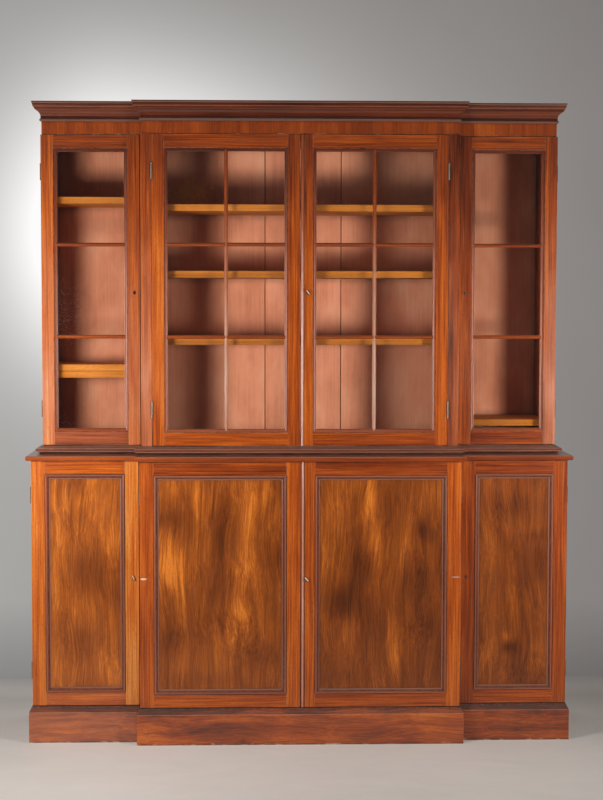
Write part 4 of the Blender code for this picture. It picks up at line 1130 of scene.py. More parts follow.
def dress_case():
    """Sides, uprights, floors, tops and backs of both cases"""
    for name in ("lower_side_left", "lower_side_right", "upper_side_left", "upper_side_right"):
        stage = LOWER if name.startswith("lower") else UPPER
        side = -1 if name.endswith("left") else 1
        low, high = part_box(name)
        piece = Piece(name + "_board")
        x_span = (stage.half_wing - BOARD, stage.half_wing)
        board = side_plank(side, x_span, (case_front(stage.wing), BACK), (low.z, high.z))
        piece.add(board, tone=SIDE_TONE, show=X_AXIS)
        piece.finish([FRAME_WOOD], "cabinet", "carcass_mahogany", [name])
    for side, word in ((-1, "left"), (1, "right")):
        dress_upright("lower_partition_" + word, LOWER, side, False)
        dress_upright("upper_partition_" + word, UPPER, side, True)
    for name, stage in (("lower_bottom", LOWER), ("upper_top", UPPER)):
        low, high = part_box(name)
        piece = Piece(name + "_board")
        piece.add(slab(inner_plan(stage), low.z, high.z), X_AXIS, FLOOR_TONE, 0, Z_AXIS)
        piece.finish([CARCASS_WOOD], "cabinet", "carcass_mahogany", [name])
    dress_back("lower_back")
    dress_back("upper_back")
    for name, tone in SHELF_TONES.items():
        dress_shelf(name, tone)


# ---------------------------------------------------------------- doors

Door = namedtuple("Door", "name low high hinge glazed centre side")
Hinge = namedtuple("Hinge", "place reach fixed_side")


def side_hinge(half_width, face, side):
    """Hinge line of a door that closes over the front edge of its upright"""
    place = (side * (half_width + KNUCKLE_STANDOFF), face + DOOR_THICKNESS + JOINT_GAP / 2)
    return Hinge(place, (-side, 0), (0, 1))


def face_hinge(opening_edge, face, side):
    """Hinge line of a door that closes between two strips, in front of its face"""
    place = (side * (opening_edge - JOINT_GAP / 2), face - KNUCKLE_STANDOFF)
    return Hinge(place, (0, 1), (side, 0))


Lock = namedtuple("Lock", "edge keyhole face height way")


def find_door(*place):
    """The door at one place: glazed or not, its side, and whether it is a centre door"""
    return next(door for door in DOORS if (door.glazed, door.side, door.centre) == place)


def find_lock(door):
    """A door's meeting edge, its keyhole and the way that its bolt is thrown"""
    if door.centre and door.side < 0:
        return None
    inset = KEYHOLE_INSETS[door.glazed] if door.centre else WING_KEYHOLE_INSET
    edge = door.low.x if door.side > 0 else door.high.x
    height = door.low.z - DOOR_GAP + KEYHOLE_HEIGHTS[door.glazed]
    return Lock(edge, edge + door.side * inset, door.low.y, height, -door.side)


def lock_block(lock, start, end, low, high, half_depth):
    """A block beside a door's edge, by distances from the edge and from the keyhole"""
    xs = sorted((lock.edge + lock.way * start, lock.edge + lock.way * end))
    middle = lock.face + BOLT_DEPTH
    return block(
        (xs[0], middle - half_depth, lock.height + low),
        (xs[1], middle + half_depth, lock.height + high),
    )


def bolt_track(lock):
    """The room that a bolt slides in"""
    return lock_block(lock, -BOLT_TRACK, TRACK_SPARE, BOLT_LOW, BOLT_HIGH, BOLT_HALF_THICKNESS)


def mortise(lock, gap):
    """The hole that a thrown bolt enters, across the gap beside its door"""
    return lock_block(
        lock, gap - MORTISE_SPARE, MORTISE_REACHES[gap], BOLT_LOW - MORTISE_PLAY,
        BOLT_HIGH + MORTISE_PLAY, BOLT_HALF_THICKNESS + MORTISE_PLAY,
    )


def arc(x, y, z, radius, start, end, steps):
    """Points on an arc that faces forwards"""
    turns = [start + (end - start) * step / steps for step in range(steps + 1)]
    return [(x + math.cos(turn) * radius, y, z + math.sin(turn) * radius) for turn in turns]


def keyhole_outline(lock, y, radius, half_slot, drop):
    """Outline of a keyhole: a round hole over a slot with a round end"""
    start = math.asin(half_slot / radius) - math.pi / 2
    foot = lock.height - drop + half_slot
    head = arc(lock.keyhole, y, lock.height, radius, start, math.pi - start, 20)
    return head + arc(lock.keyhole, y, foot, half_slot, math.pi, math.tau, 8)


def keyhole(lock, start, end):
    """A keyhole-shaped tool from one depth to another"""
    sizes = (KEYHOLE_RADIUS, KEYHOLE_HALF_SLOT, KEYHOLE_DROP)
    points = keyhole_outline(lock, lock.face + start, *sizes)
    return extrude_outline(points, (0, end - start, 0))


def lock_cuts(lock):
    """Tools for the bolt's track, the room that the key turns in, and the keyhole"""
    across = -abs(lock.keyhole - lock.edge)
    start, end = across - LOCK_HALF_WIDTH, across + LOCK_HALF_WIDTH
    room = lock_block(lock, start, end, LOCK_LOW, LOCK_TOP, LOCK_HALF_DEPTH)
    return [bolt_track(lock), room, keyhole(lock, -TOOL_SPARE, BOLT_DEPTH)]


def dress_escutcheon(door, lock):
    """The brass lining let in round a keyhole"""
    rim = ESCUTCHEON_RIM
    front = lock.face - ESCUTCHEON_RISE
    outline = keyhole_outline(
        lock, front, KEYHOLE_RADIUS + rim, KEYHOLE_HALF_SLOT + rim, KEYHOLE_DROP + rim)
    plate = extrude_outline(outline, (0, ESCUTCHEON_DEPTH, 0))
    plate = cut_out(plate, [keyhole(lock, -TOOL_SPARE, TOOL_SPARE)])
    piece = Piece(door.name + "_escutcheon")
    piece.add(plate)
    # All linings but one take the brass that is darkened as painted shade
    metal = BRASS if door.name == BRIGHT_ESCUTCHEON else SHADED_DULL_BRASS
    piece.finish([metal], door.name + "_door", "brass")


def key_bow(middle):
    """The flat oval ring that a key is turned by"""
    bm = bmesh.new()
    steps, corners = 40, 12
    loops = []
    for step in range(steps):
        turn = math.tau * step / steps
        out = Vector((0, math.cos(turn), math.sin(turn)))
        centre = Vector((0, middle + out.y * BOW_HALF_LENGTH, out.z * BOW_HALF_HEIGHT))
        loop = []
        for corner in range(corners):
            around = math.tau * corner / corners
            thick = Vector((math.sin(around) * BOW_HALF_THICKNESS, 0, 0))
            loop.append(bm.verts.new(centre + out * math.cos(around) * BOW_WIRE + thick))
        loops.append(loop)
    for here, there in zip(loops, loops[1:] + loops[:1]):
        for index in range(corners):
            after = (index + 1) % corners
            bm.faces.new((here[index], here[after], there[after], there[index]))
    bmesh.ops.recalc_face_normals(bm, faces=bm.faces)
    return bm


def dress_key(door, lock, lean):
    """A small steel key: bow, collar, shaft and warded bit"""
    middle = BOW_HALF_LENGTH + BOW_WIRE - KEY_PROJECTION
    collar = middle + BOW_HALF_LENGTH
    tip = BOLT_DEPTH + BIT_WIDTH / 2
    thin, thick, shank = 0.0016, KEY_RADIUS, KEY_RADIUS - 0.0002
    shaft = lathe([
        (0, collar - 0.0004), (thin, collar - 0.0002), (thick, collar + 0.0006),
        (thick, collar + 0.0012), (thin, collar + 0.0015), (thick, collar + 0.0019),
        (thick, collar + 0.0025), (shank, collar + 0.0028), (shank, tip - 0.0004),
        (KEY_RADIUS - 0.0006, tip), (0, tip),
    ])
    bmesh.ops.transform(shaft, matrix=Matrix.Rotation(-math.pi / 2, 4, "X"), verts=shaft.verts)
    start, end, ward = tip - BIT_WIDTH, tip - 0.0003, BIT_WIDTH / 5
    notch, foot = -BIT_REACH * 0.62, -BIT_REACH
    outline = [
        (start, 0), (start, foot), (start + 2 * ward, foot), (start + 2 * ward, notch),
        (start + 3 * ward, notch), (start + 3 * ward, foot), (end, foot), (end, 0),
    ]
    outline = [(-BIT_HALF_THICKNESS, y, z) for y, z in outline]
    bit = extrude_outline(outline, (2 * BIT_HALF_THICKNESS, 0, 0))
    place = Matrix.Translation((lock.keyhole, lock.face, lock.height))
    turn = Matrix.Rotation(-lock.way * math.radians(lean), 4, "Y")
    piece = Piece(door.name + "_key_metal")
    for shape in (key_bow(middle), shaft, bit):
        bmesh.ops.transform(shape, matrix=place @ turn, verts=shape.verts)
        piece.add(shape)
    piece.finish([STEEL], door.name + "_key", "steel", [door.name + "_key"], angle=32)


def dress_lock(door):
    """Bolt, escutcheon and key of one door"""
    lock = find_lock(door)
    bolt = Piece(door.name + "_bolt_metal")
    bolt.add(ease(block(*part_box(door.name + "_bolt")), BOLT_EASE))
    bolt.finish([BRASS], door.name + "_bolt", "brass", [door.name + "_bolt"])
    if door.name not in BARE_KEYHOLES:
        dress_escutcheon(door, lock)
    if door.name in KEY_LEANS:
        dress_key(door, lock, KEY_LEANS[door.name])


def lay_out_doors():
    """Place and hinge line of every door"""
    doors = []
    for glazed, stage in ((True, UPPER), (False, LOWER)):
        for side, word in ((-1, "left"), (1, "right")):
            for centre in (False, True):
                level = "upper" if glazed else "lower"
                name = f"{level}_centre_{word}" if centre else f"{level}_{word}_wing"
                face = stage.centre if centre else stage.wing
                if centre and glazed:
                    edge = stage.half_centre - STRIP_WIDTH
                    x_span = (MEETING_GAP / 2, edge - JOINT_GAP)
                    hinge = face_hinge(edge, face, side)
                elif centre:
                    x_span = (MEETING_GAP / 2, stage.half_centre)
                    hinge = side_hinge(stage.half_centre, face, side)
                else:
                    x_span = (stage.half_centre + BREAK_GAP, stage.half_wing)
                    hinge = side_hinge(stage.half_wing, face, side)
                xs = sorted(side * x for x in x_span)
                box_low, box_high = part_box(name + "_frame")
                low = Vector((xs[0], face, box_low.z))
                high = Vector((xs[1], face + DOOR_THICKNESS, box_high.z))
                doors.append(Door(name, low, high, hinge, glazed, centre, side))
    return doors


DOORS = lay_out_doors()
# Painted shade and shadow round the keyholes, with dirt
SHADOW_AND_DIRT_DROP, SHADOW_AND_DIRT_SIZE = 0.0026, (0.0060, 0.020, 0.0088)
KEYHOLE_SHADOWS_AND_DIRT = tuple(
    ((lock.keyhole, lock.face, lock.height - SHADOW_AND_DIRT_DROP), SHADOW_AND_DIRT_SIZE, SHADOW_AND_DIRT_COLOUR)
    for lock in map(find_lock, DOORS) if lock)
FRAME_GRAIN = {"fibre": 0.50, "ribbon": 0.22, "mottle": 0.16, "worn_and_highlit": 0.75}
FRAME_WOOD = polished_wood(
    "frame_mahogany", MAHOGANY, painted_light_by_height=True, marks=KEYHOLE_SHADOWS_AND_DIRT, **FRAME_GRAIN)
SCRAPED_WOOD = polished_wood(
    "scraped_mahogany", MAHOGANY, marks=SCRAPES + KEYHOLE_SHADOWS_AND_DIRT, **FRAME_GRAIN)

GLASS_SECTION = (
    smooth_line([(0.0, 0.0), (0.0004, 0.0006), (0.0010, 0.0014)], 2)
    + smooth_line([
        (0.0018, 0.0015), (0.0052, 0.0020), (0.0090, 0.0038), (0.0114, 0.0064), (0.0122, 0.0088),
    ], 4)
    + [(GLASS_MOULDING, 0.0090), (GLASS_MOULDING, GLASS_DEPTH)]
    + [(GLASS_MOULDING - REBATE, GLASS_DEPTH)]
    + [(GLASS_MOULDING - REBATE, DOOR_THICKNESS - EASE), (0.0, DOOR_THICKNESS - EASE)]
)
PUTTY_SECTION = [
    (GLASS_MOULDING - REBATE, GLASS_DEPTH + GLASS_THICKNESS + 2 * SEAT),
    (GLASS_MOULDING - 0.0006, GLASS_DEPTH + GLASS_THICKNESS + 2 * SEAT),
    (GLASS_MOULDING - REBATE, DOOR_THICKNESS - 0.0022),
]
PANEL_SECTION = (
    smooth_line([
        (0.0, 0.0), (0.0003, -0.0018), (0.0020, -0.0036), (0.0040, -0.0040), (0.0062, -0.0037),
        (0.0084, -0.0024), (0.0098, -0.0006), (0.0102, 0.0004),
    ], 3)
    + [(0.0112, 0.0006)]
    + smooth_line([
        (0.0114, 0.0012), (0.0118, 0.0036), (0.0134, 0.0062), (0.0158, 0.0080), (0.0174, 0.0086),
    ], 3)
    + [(PANEL_MOULDING, 0.0088), (PANEL_MOULDING, PANEL_DEPTH)]
    + [(PANEL_MOULDING - REBATE, PANEL_DEPTH)]
    + [(PANEL_MOULDING - REBATE, DOOR_THICKNESS - EASE), (0.0, DOOR_THICKNESS - EASE)]
)

# Strips of the door mouldings: from and to, tone, and how much grey painted sheen.  The dark strips
# are painted shade, the grey ones painted highlights.
PANEL_LINES = (
    (-0.001, 0.0014, 0.0, 0.0), (0.0026, 0.0058, 0.22, 0.20), (0.0059, 0.0093, 0.26, 0.03),
    (0.0094, 0.0119, 0.0, 0.0), (0.0142, 0.0181, 0.20, 0.20),
)
GLASS_LINES = (
    (-0.001, 0.0019, 0.0, 0.0), (0.0020, 0.0052, 0.36, 0.10), (0.0106, 0.0131, 0.56, 0.70),
)

# The level glass mouldings stay brown, where the upright ones carry a pale painted highlight
LEVEL_LINES = {GLASS_LINES: GLASS_LINES[:2]}


def bar_section():
    """Section of a glazing bar: a rounded nose, hollow sides, and the tongue between the panes"""
    half = BAR_WIDTH / 2
    nose = smooth_line([
        (half, 0.0098), (half * 0.86, 0.0072), (half * 0.52, 0.0050), (half * 0.34, 0.0034),
        (half * 0.24, 0.0022), (0.0, 0.0019),
    ], 3)
    side = [(half, GLASS_DEPTH - SEAT)] + nose
    tongue = [(BAR_TONGUE / 2, GLASS_DEPTH - SEAT), (BAR_TONGUE / 2, DOOR_THICKNESS - 0.004)]
    right = list(reversed(tongue)) + side
    return right + [(-across, deep) for across, deep in reversed(right[:-1])]


def frame_mouldings(piece, door, section, tone, lines=()):
    """Four mitred lengths round the inside of a door frame"""
    stile = UPPER_STILE if door.glazed else LOWER_STILE
    left, right = door.low.x + stile, door.high.x - stile
    bottom, top = door.low.z + RAIL, door.high.z - RAIL
    places = ((left, bottom), (right, bottom), (right, top), (left, top))
    corners = [Vector((x, door.low.y, z)) for x, z in places]
    over = max(across for across, deep in section) + EASE
    for index in range(4):
        start, end = corners[index], corners[(index + 1) % 4]
        way = (end - start).normalized()
        inwards = Vector((-way.z, 0, way.x))
        length = moulding_length(section, start, end, inwards, Y_AXIS, over)
        saw(length, start, inwards - way)
        saw(length, end, inwards + way)
        faces = piece.add(length, way, tone)
        shown = [face for face in faces if face.normal.y < 0.5]
        piece.line(shown, start, inwards, lines if index % 2 else LEVEL_LINES.get(lines, lines))


def sight(door):
    """Lowest and highest corner of the glass that shows"""
    inset = Vector((UPPER_STILE + GLASS_MOULDING, 0, RAIL + GLASS_MOULDING))
    return door.low + inset, door.high - inset


def bar_places(door):
    """Heights of the level bars, and places of the upright ones"""
    low, high = sight(door)
    levels = [low.z + (high.z - low.z) * index / PANES_HIGH for index in range(1, PANES_HIGH)]
    uprights = [(low.x + high.x) / 2] if door.centre else []
    return levels, uprights


def dress_glazing(door):
    """Glass moulding, glazing bars and putty of one door"""
    piece = Piece(door.name + "_glass_moulding")
    frame_mouldings(piece, door, GLASS_SECTION, MOULDING_TONE, GLASS_LINES)
    frame_mouldings(piece, door, PUTTY_SECTION, PUTTY_TONE)
    low, high = sight(door)
    reach = GLASS_MOULDING / 2
    levels, uprights = bar_places(door)
    section = bar_section()
    for x in uprights:
        start, end = Vector((x, door.low.y, low.z - reach)), Vector((x, door.low.y, high.z + reach))
        bar = moulding_length(section, start, end, X_AXIS, Y_AXIS, 0)
        piece.add(bar, Z_AXIS, UPRIGHT_BAR_TONE, fade=UPRIGHT_BAR_SHEEN_FADE)
    edges = [low.x - reach, *uprights, high.x + reach]
    for z in levels:
        for left, right in zip(edges, edges[1:]):
            start, end = Vector((left, door.low.y, z)), Vector((right, door.low.y, z))
            bar = moulding_length(section, start, end, Z_AXIS, Y_AXIS, 0)
            piece.add(bar, X_AXIS, LEVEL_BAR_TONE)
    piece.finish([GLASS_MOULDING_WOOD], door.name + "_door", "moulding_mahogany")


def dress_panes(door):
    """One pane of glass for each opening"""
    piece = Piece(door.name + "_panes")
    low, high = sight(door)
    levels, uprights = bar_places(door)
    rebate = REBATE - 2 * SEAT
    tongue = BAR_TONGUE / 2 + SEAT
    xs = [low.x - rebate, *uprights, high.x + rebate]
    zs = [low.z - rebate, *levels, high.z + rebate]
    near = door.low.y + GLASS_DEPTH + SEAT
    for column, (left, right) in enumerate(zip(xs, xs[1:])):
        for row, (bottom, top) in enumerate(zip(zs, zs[1:])):
            corner = (left + (tongue if column else 0), near, bottom + (tongue if row else 0))
            last_column, last_row = column == len(xs) - 2, row == len(zs) - 2
            far = (
                right - (0 if last_column else tongue),
                near + GLASS_THICKNESS,
                top - (0 if last_row else tongue),
            )
            piece.add(block(corner, far))
    piece.finish([GLASS], door.name + "_door", "glass", [door.name + "_glass"])


def dress_frame(door):
    """Stiles and rails of one door, each with its own grain"""
    stile = UPPER_STILE if door.glazed else LOWER_STILE
    tones = DOOR_TONES[door.name]
    fades = DOOR_SHEEN_FADES.get(door.name, NO_SHEEN_FADES)
    low, high = door.low, door.high
    lock = find_lock(door)
    piece = Piece(door.name + "_stiles_and_rails")
    start = low.x
    if door.centre and door.side > 0:
        start = low.x + BEAD_WIDTH + QUIRK
        dress_bead(piece, door, lock)
    left = plank((start, low.y, low.z), (low.x + stile, high.y, high.z))
    right = plank((high.x - stile, low.y, low.z), high)
    if door.centre and door.side < 0:
        right = cut_out(right, [mortise(find_lock(find_door(door.glazed, 1, True)), MEETING_GAP)])
    elif door.side < 0:
        right = cut_out(right, lock_cuts(lock))
    else:
        left = cut_out(left, lock_cuts(lock))
    piece.add(left, tone=tones[0], fade=fades[0])
    piece.add(right, tone=tones[1], fade=fades[1])
    rail = (low.x + stile, high.x - stile)
    top_rail = plank((rail[0], low.y, high.z - RAIL), (rail[1], high.y, high.z))
    piece.add(top_rail, X_AXIS, tones[2], fade=fades[2])
    bottom_rail = plank((rail[0], low.y, low.z), (rail[1], high.y, low.z + RAIL))
    piece.add(bottom_rail, X_AXIS, tones[3], fade=fades[3])
    wood = SCRAPED_WOOD if door.centre and not door.glazed else FRAME_WOOD
    body, replaced = door.name + "_door", door.name + "_frame"
    piece.finish([wood, RUBBED_SHEEN_WOOD], body, "frame_mahogany", [replaced])


def dress_bead(piece, door, lock):
    """The rounded bead on the meeting edge"""
    low, high = door.low, door.high
    half = BEAD_WIDTH / 2
    section = [(0.0, DOOR_THICKNESS), (0.0, BEAD_RISE / 2)]
    for index in range(1, BEAD_SIDES):
        turn = math.pi * index / BEAD_SIDES
        rise = BEAD_RISE / 2 - math.sin(turn) * BEAD_RISE * 1.5
        section.append((half - math.cos(turn) * half, rise))
    section += [(BEAD_WIDTH, BEAD_RISE / 2), (BEAD_WIDTH, DOOR_THICKNESS)]
    start = Vector((low.x, low.y, low.z))
    end = Vector((low.x, low.y, high.z))
    bead = moulding_length(section, start, end, X_AXIS, Y_AXIS, 0)
    bead = cut_out(bead, [bolt_track(lock)])
    for step in range(1, BEAD_STEPS):
        height = low.z + (high.z - low.z) * step / BEAD_STEPS
        geom = bead.verts[:] + bead.edges[:] + bead.faces[:]
        bmesh.ops.bisect_plane(bead, geom=geom, dist=FINE, plane_co=(0, 0, height), plane_no=Z_AXIS)
    for face in piece.add(bead, Z_AXIS, MOULDING_TONE, 1):
        # The bead's front is made pale, as rubbing of the polish with a painted highlight
        if face.normal.y < -0.84:
            up = (face.calc_center_median().z - low.z) / (high.z - low.z)
            rubbed_sheen = LOWER_RUBBED_SHEEN[0] + LOWER_RUBBED_SHEEN[1] * up
            if door.glazed:
                rubbed_sheen = math.exp(-((up - RUBBED_SHEEN_HEIGHT) / RUBBED_SHEEN_REACH) ** 2)
            face[piece.tone] = BEAD_TONE + BEAD_RUBBED_SHEEN * rubbed_sheen


def figure_at(door, across, up):
    """How light the figure of a panel is, at a place on it"""
    total = 0.0
    for place in FIGURE[door.name]:
        middle, height, half_width, half_height, strength = (value / 100 for value in place)
        far = ((across - middle) / half_width) ** 2 + ((up - height) / half_height) ** 2
        total += strength * math.exp(-far)
    return total


def dress_panel(door):
    """Flame-veneered panel and the raised moulding round it"""
    piece = Piece(door.name + "_raised_moulding")
    frame_mouldings(piece, door, PANEL_SECTION, MOULDING_TONE, PANEL_LINES)
    piece.finish([MOULDING_WOOD], door.name + "_door", "moulding_mahogany")
    low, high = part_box(door.name + "_panel")
    panel = Piece(door.name + "_flame_panel")
    board = block(low, high)
    for axis, steps in PANEL_CUTS:
        edges = []
        for edge in board.edges:
            start, end = (vert.co[axis] for vert in edge.verts)
            if abs(end - start) > DOOR_THICKNESS:
                edges.append(edge)
        bmesh.ops.subdivide_edges(board, edges=edges, cuts=steps, use_grid_fill=True)
    panel.add(board, Z_AXIS, PANEL_TONES[door.name])
    item = panel.finish([FLAME_WOOD], door.name + "_door", "flame_mahogany", [door.name + "_panel"])
    figure = item.data.attributes.new("figure", "FLOAT", "POINT")
    size = high - low
    for vert, value in zip(item.data.vertices, figure.data):
        place = vert.co - low
        value.value = figure_at(door, place.x / size.x, place.z / size.z)


def hinge_matrix(hinge, height):
    """Place of a hinge: X runs along its leaves, and Y towards the part that stands still"""
    x, y = Vector(hinge.reach), Vector(hinge.fixed_side)
    return Matrix((
        (x.x, y.x, 0, hinge.place[0]),
        (x.y, y.y, 0, hinge.place[1]),
        (0, 0, 1, height),
        (0, 0, 0, 1),
    ))


def countersunk_screw(place, side):
    """A slotted screw head let into a leaf"""
    bm = bmesh.new()
    turn = Matrix.Rotation(-side * math.pi / 2, 4, "X")
    bmesh.ops.create_cone(
        bm,
        cap_ends=True,
        segments=16,
        radius1=SCREW_RADIUS * 0.6,
        radius2=SCREW_RADIUS,
        depth=SCREW_DEPTH,
        matrix=Matrix.Translation(place) @ turn,
    )
    return bm


def add_hinge_half(piece, hinge, height, fixed):
    """Leaf, screws and knuckles of one half of a butt hinge"""
    matrix = hinge_matrix(hinge, height)
    side = 1 if fixed else -1
    shapes = []
    face_in, face_out = side * SEAT, side * (SEAT + LEAF_THICKNESS)
    near, far = sorted((face_in, face_out))
    start = KNUCKLE_RADIUS + KNUCKLE_GAP
    half = HINGE_LENGTH / 2
    shapes.append(ease(block((start, near, -half), (LEAF_WIDTH, far, half)), METAL_EASE, 1))
    for along, across in SCREW_PLACES:
        place = Vector((LEAF_WIDTH * across, face_in, along * half))
        shapes.append(countersunk_screw(place, -side))
    step = HINGE_LENGTH / KNUCKLES
    for index in range(0 if fixed else 1, KNUCKLES, 2):
        low = index * step - half + KNUCKLE_GAP
        high = low + step - 2 * KNUCKLE_GAP
        knuckle = round_rod((0, 0, low), (0, 0, high), KNUCKLE_RADIUS)
        shapes.append(ease(knuckle, METAL_EASE, 1))
        shapes.append(block((0, near, low), (start + LEAF_OVERLAP, far, high)))
    if fixed:
        shapes.append(round_rod((0, 0, -half), (0, 0, half), PIN_RADIUS))
    for shape in shapes:
        bmesh.ops.transform(shape, matrix=matrix, verts=shape.verts)
        bmesh.ops.recalc_face_normals(shape, faces=shape.faces)
        piece.add(shape)


def dress_hinges(door):
    """Both halves of a door's two hinges"""
    from_end = UPPER_HINGE_FROM_END if door.glazed else LOWER_HINGE_FROM_END
    heights = (door.low.z + from_end, door.high.z - from_end)
    moving = Piece(door.name + "_hinge_leaves")
    fixed = Piece(door.name + "_fixed_hinge_leaves")
    for height in heights:
        add_hinge_half(moving, door.hinge, height, False)
        add_hinge_half(fixed, door.hinge, height, True)
    nodes = [f"{door.name}_hinge_{word}" for word in ("bottom", "top")] if door.glazed else []
    # Only the upper centre doors' hinges are plain brass; the others are darkened as painted shade
    metal = BRASS if door.centre and door.glazed else SHADED_DULL_BRASS
    moving.finish([metal], door.name + "_door", "brass")
    fixed.finish([metal], "cabinet", "brass", nodes)


def dress_doors():
    """Everything on the eight doors"""
    for door in DOORS:
        dress_frame(door)
        if find_lock(door):
            dress_lock(door)
        dress_hinges(door)
        if door.glazed:
            dress_glazing(door)
            dress_panes(door)
        else:
            dress_panel(door)


# ---------------------------------------------------------------- room, lamps and camera

WALL_Y = 0.78
SWEEP_RADIUS = 0.30
SWEEP_STEPS = 12
ROOM_HALF_WIDTH = 6.0
FLOOR_FRONT = -8.0
WALL_TOP = 6.0
GLOW_X, GLOW_Z = -0.75, 1.96
GLOW_LEFT, GLOW_RIGHT, GLOW_UP = 0.47, 0.85, 0.58
GLOW_STRENGTH = 1.14
# Colours from the left to the right: paler on the left as painted lamp light, and darker on the
# right as painted shade
WALL_COLOURS = ((0.0, (0.385, 0.374, 0.362)), (1.0, (0.238, 0.220, 0.212)))
FLOOR_COLOURS = ((0.0, (0.94, 0.915, 0.870)), (1.0, (0.78, 0.750, 0.710)))
BRIGHTEST = (0.97, 0.97, 0.97)
# A dim painted glow on the floor behind the case, stronger towards the left
FAR_FLOOR, BLACK = (0.036, 0.034, 0.032), (0.0, 0.0, 0.0)
# Painted shade on the wall above one height and below another: from, to, and its shares there
TOP_DIP = (2.45, 3.0, 1.0, 0.86)
FOOT_DIP = (0.03, 0.36, 0.62, 1.0)


def glow(tree, x, z):
    """A painted pool of lamp light behind the left wing, which falls off sooner on its left"""
    away = sum_of(tree, "SUBTRACT", x, GLOW_X)
    right, left = (sum_of(tree, "DIVIDE", away, reach) for reach in (GLOW_RIGHT, -GLOW_LEFT))
    across = sum_of(tree, "MAXIMUM", right, left)
    up = sum_of(tree, "DIVIDE", sum_of(tree, "SUBTRACT", z, GLOW_Z), GLOW_UP)
    far = sum_of(tree, "ADD", times(tree, across, across), times(tree, up, up))
    return times(tree, sum_of(tree, "EXPONENT", times(tree, far, -1.0)), GLOW_STRENGTH)


def room_finish():
    """Matt floor turning into a backdrop with its own light, both with painted light and shade"""
    material, tree, shader = new_finish("room_canvas", 0.95)
    where = object_place(tree)
    x, y, z = (split(tree, where)[axis] for axis in "XYZ")
    patch = stretched_noise(tree, where, (1.6, 1.6, 1.1), 4.0)
    across = swayed(tree, span(tree, x, -1.35, 1.35), patch, 0.25)
    wall = ramp(tree, across, WALL_COLOURS)
    for dip in (TOP_DIP, FOOT_DIP):
        wall = blend(tree, 1.0, wall, span(tree, z, *dip), "MULTIPLY")
    wall = blend(tree, 1.0, wall, glow(tree, x, z), "ADD")
    wall = blend(tree, 1.0, wall, BRIGHTEST, "DARKEN")
    far_floor = blend(tree, span(tree, x, -1.3, 0.9), FAR_FLOOR, BLACK)
    far_floor = blend(tree, span(tree, y, -0.35, 0.25), BLACK, far_floor)
    scuff = stretched_noise(tree, where, (2.2, 5.0, 2.0), 6.0, 0.6, 1.5)
    floor = ramp(tree, swayed(tree, across, scuff, 0.7), FLOOR_COLOURS)
    share = span(tree, z, 0.0, 0.05)
    tree.links.new(blend(tree, share, floor, BLACK), shader.inputs["Base Color"])
    tree.links.new(blend(tree, share, far_floor, wall), shader.inputs["Emission Color"])
    path = node(tree, "ShaderNodeLightPath").outputs
    seen = sum_of(tree, "ADD", path["Is Camera Ray"], path["Is Glossy Ray"])
    seen = sum_of(tree, "ADD", seen, path["Is Transmission Ray"], clamp=True)
    tree.links.new(seen, shader.inputs["Emission Strength"])
    behind = times(tree, node(tree, "ShaderNodeNewGeometry").outputs["Backfacing"], share)
    tree.links.new(sum_of(tree, "SUBTRACT", 1.0, behind), shader.inputs["Alpha"])
    return material


def make_room():
    """Pale floor that sweeps up into the backdrop, which is seen through from behind"""
    bend = []
    for step in range(SWEEP_STEPS + 1):
        turn = math.pi / 2 * step / SWEEP_STEPS
        y = WALL_Y - SWEEP_RADIUS * (1 - math.sin(turn))
        bend.append((y, SWEEP_RADIUS * (1 - math.cos(turn))))
    line = [(FLOOR_FRONT, 0.0), *bend, (WALL_Y, WALL_TOP)]
    bm = bmesh.new()
    verts = [bm.verts.new((-ROOM_HALF_WIDTH, y, z)) for y, z in line]
    edges = [bm.edges.new(pair) for pair in zip(verts, verts[1:])]
    drawn = bmesh.ops.extrude_edge_only(bm, edges=edges)["geom"]
    moved = [item for item in drawn if isinstance(item, bmesh.types.BMVert)]
    bmesh.ops.translate(bm, vec=(2 * ROOM_HALF_WIDTH, 0, 0), verts=moved)
    bm.normal_update()
    outward = [face for face in bm.faces if face.normal.z < 0 or face.normal.y > 0.5]
    bmesh.ops.reverse_faces(bm, faces=outward)
    mesh = bpy.data.meshes.new("room")
    bm.to_mesh(mesh)
    bm.free()
    mesh.shade_smooth()
    mesh.materials.append(room_finish())
    item = bpy.data.objects.new("room", mesh)
    bpy.context.scene.collection.objects.link(item)


# A lamp either lights the wood or only gleams on its polish.  One without a height is round.
Lamp = namedtuple("Lamp", "name place target width height watts gleams")
LAMP_COLOUR = (1.0, 0.97, 0.94)
LAMPS = (
    Lamp("left_lamp", (-1.26, -1.62, 1.40), (-0.6, 0.2, 1.36), 0.50, None, 30, False),
    Lamp("right_lamp", (1.37, -1.50, 1.36), (0.6, 0.2, 1.34), 0.32, None, 21, False),
    Lamp("left_sheen", (-3.3, -3.1, 1.25), (-0.4, 0.0, 1.25), 2.4, 1.4, 70, True),
    Lamp("right_sheen", (3.3, -3.1, 1.25), (0.4, 0.0, 1.25), 2.4, 1.4, 50, True),
    Lamp("top_sheen", (0.0, -2.4, 4.4), (0.0, 0.0, 1.2), 2.4, None, 14, True),
    Lamp("back_bounce", (0.0, 0.74, 1.30), (0.0, 0.0, 1.30), 1.4, None, 6, False),
)
ROOM_LIGHT = 0.06
ROOM_COLOUR = (1.0, 0.99, 0.97, 1.0)


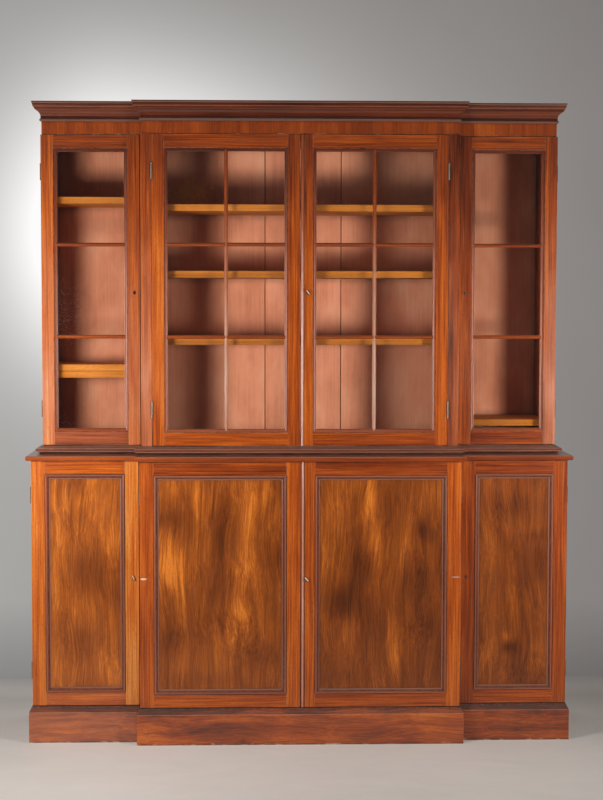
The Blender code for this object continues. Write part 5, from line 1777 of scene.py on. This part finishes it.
def make_light():
    """Soft lamps close in front of the wings, their gleam, and a dim even room"""
    for lamp in LAMPS:
        light = bpy.data.lights.new(lamp.name, "AREA")
        light.shape = "RECTANGLE" if lamp.height else "DISK"
        light.size = lamp.width
        if lamp.height:
            light.size_y = lamp.height
        light.energy = lamp.watts
        light.color = LAMP_COLOUR
        item = bpy.data.objects.new(lamp.name, light)
        item.location = lamp.place
        aim = Vector(lamp.target) - Vector(lamp.place)
        item.rotation_euler = aim.to_track_quat("-Z", "Y").to_euler()
        item.visible_camera = False
        item.visible_glossy = lamp.gleams
        item.visible_diffuse = not lamp.gleams
        item.visible_transmission = False
        bpy.context.scene.collection.objects.link(item)
    world = bpy.data.worlds.new("room")
    world.use_nodes = True
    background = world.node_tree.nodes["Background"]
    background.inputs["Color"].default_value = ROOM_COLOUR
    background.inputs["Strength"].default_value = ROOM_LIGHT
    bpy.context.scene.world = world
    bpy.context.scene.view_settings.view_transform = "Standard"


CAMERA_PLACE = (-0.17621, -6.18215, 1.65848)
CAMERA_YAW, CAMERA_PITCH, CAMERA_ROLL = 0.02991, -0.06131, 0.00153
CAMERA_LENS = 72.45


def make_camera():
    """The camera at the photograph's place, in front and a little above the middle"""
    forward = Vector((
        math.sin(CAMERA_YAW) * math.cos(CAMERA_PITCH),
        math.cos(CAMERA_YAW) * math.cos(CAMERA_PITCH),
        math.sin(CAMERA_PITCH),
    ))
    right = forward.cross(Vector(Z_AXIS)).normalized()
    up = right.cross(forward)
    tilted_right = right * math.cos(CAMERA_ROLL) + up * math.sin(CAMERA_ROLL)
    tilted_up = up * math.cos(CAMERA_ROLL) - right * math.sin(CAMERA_ROLL)
    turn = Matrix((tilted_right, tilted_up, -forward)).transposed()
    lens = bpy.data.cameras.new("camera")
    lens.lens = CAMERA_LENS
    camera = bpy.data.objects.new("camera", lens)
    camera.matrix_world = Matrix.Translation(CAMERA_PLACE) @ turn.to_4x4()
    bpy.context.scene.collection.objects.link(camera)
    bpy.context.scene.camera = camera


dress_mouldings()
dress_case()
dress_doors()
make_room()
make_light()
make_camera()
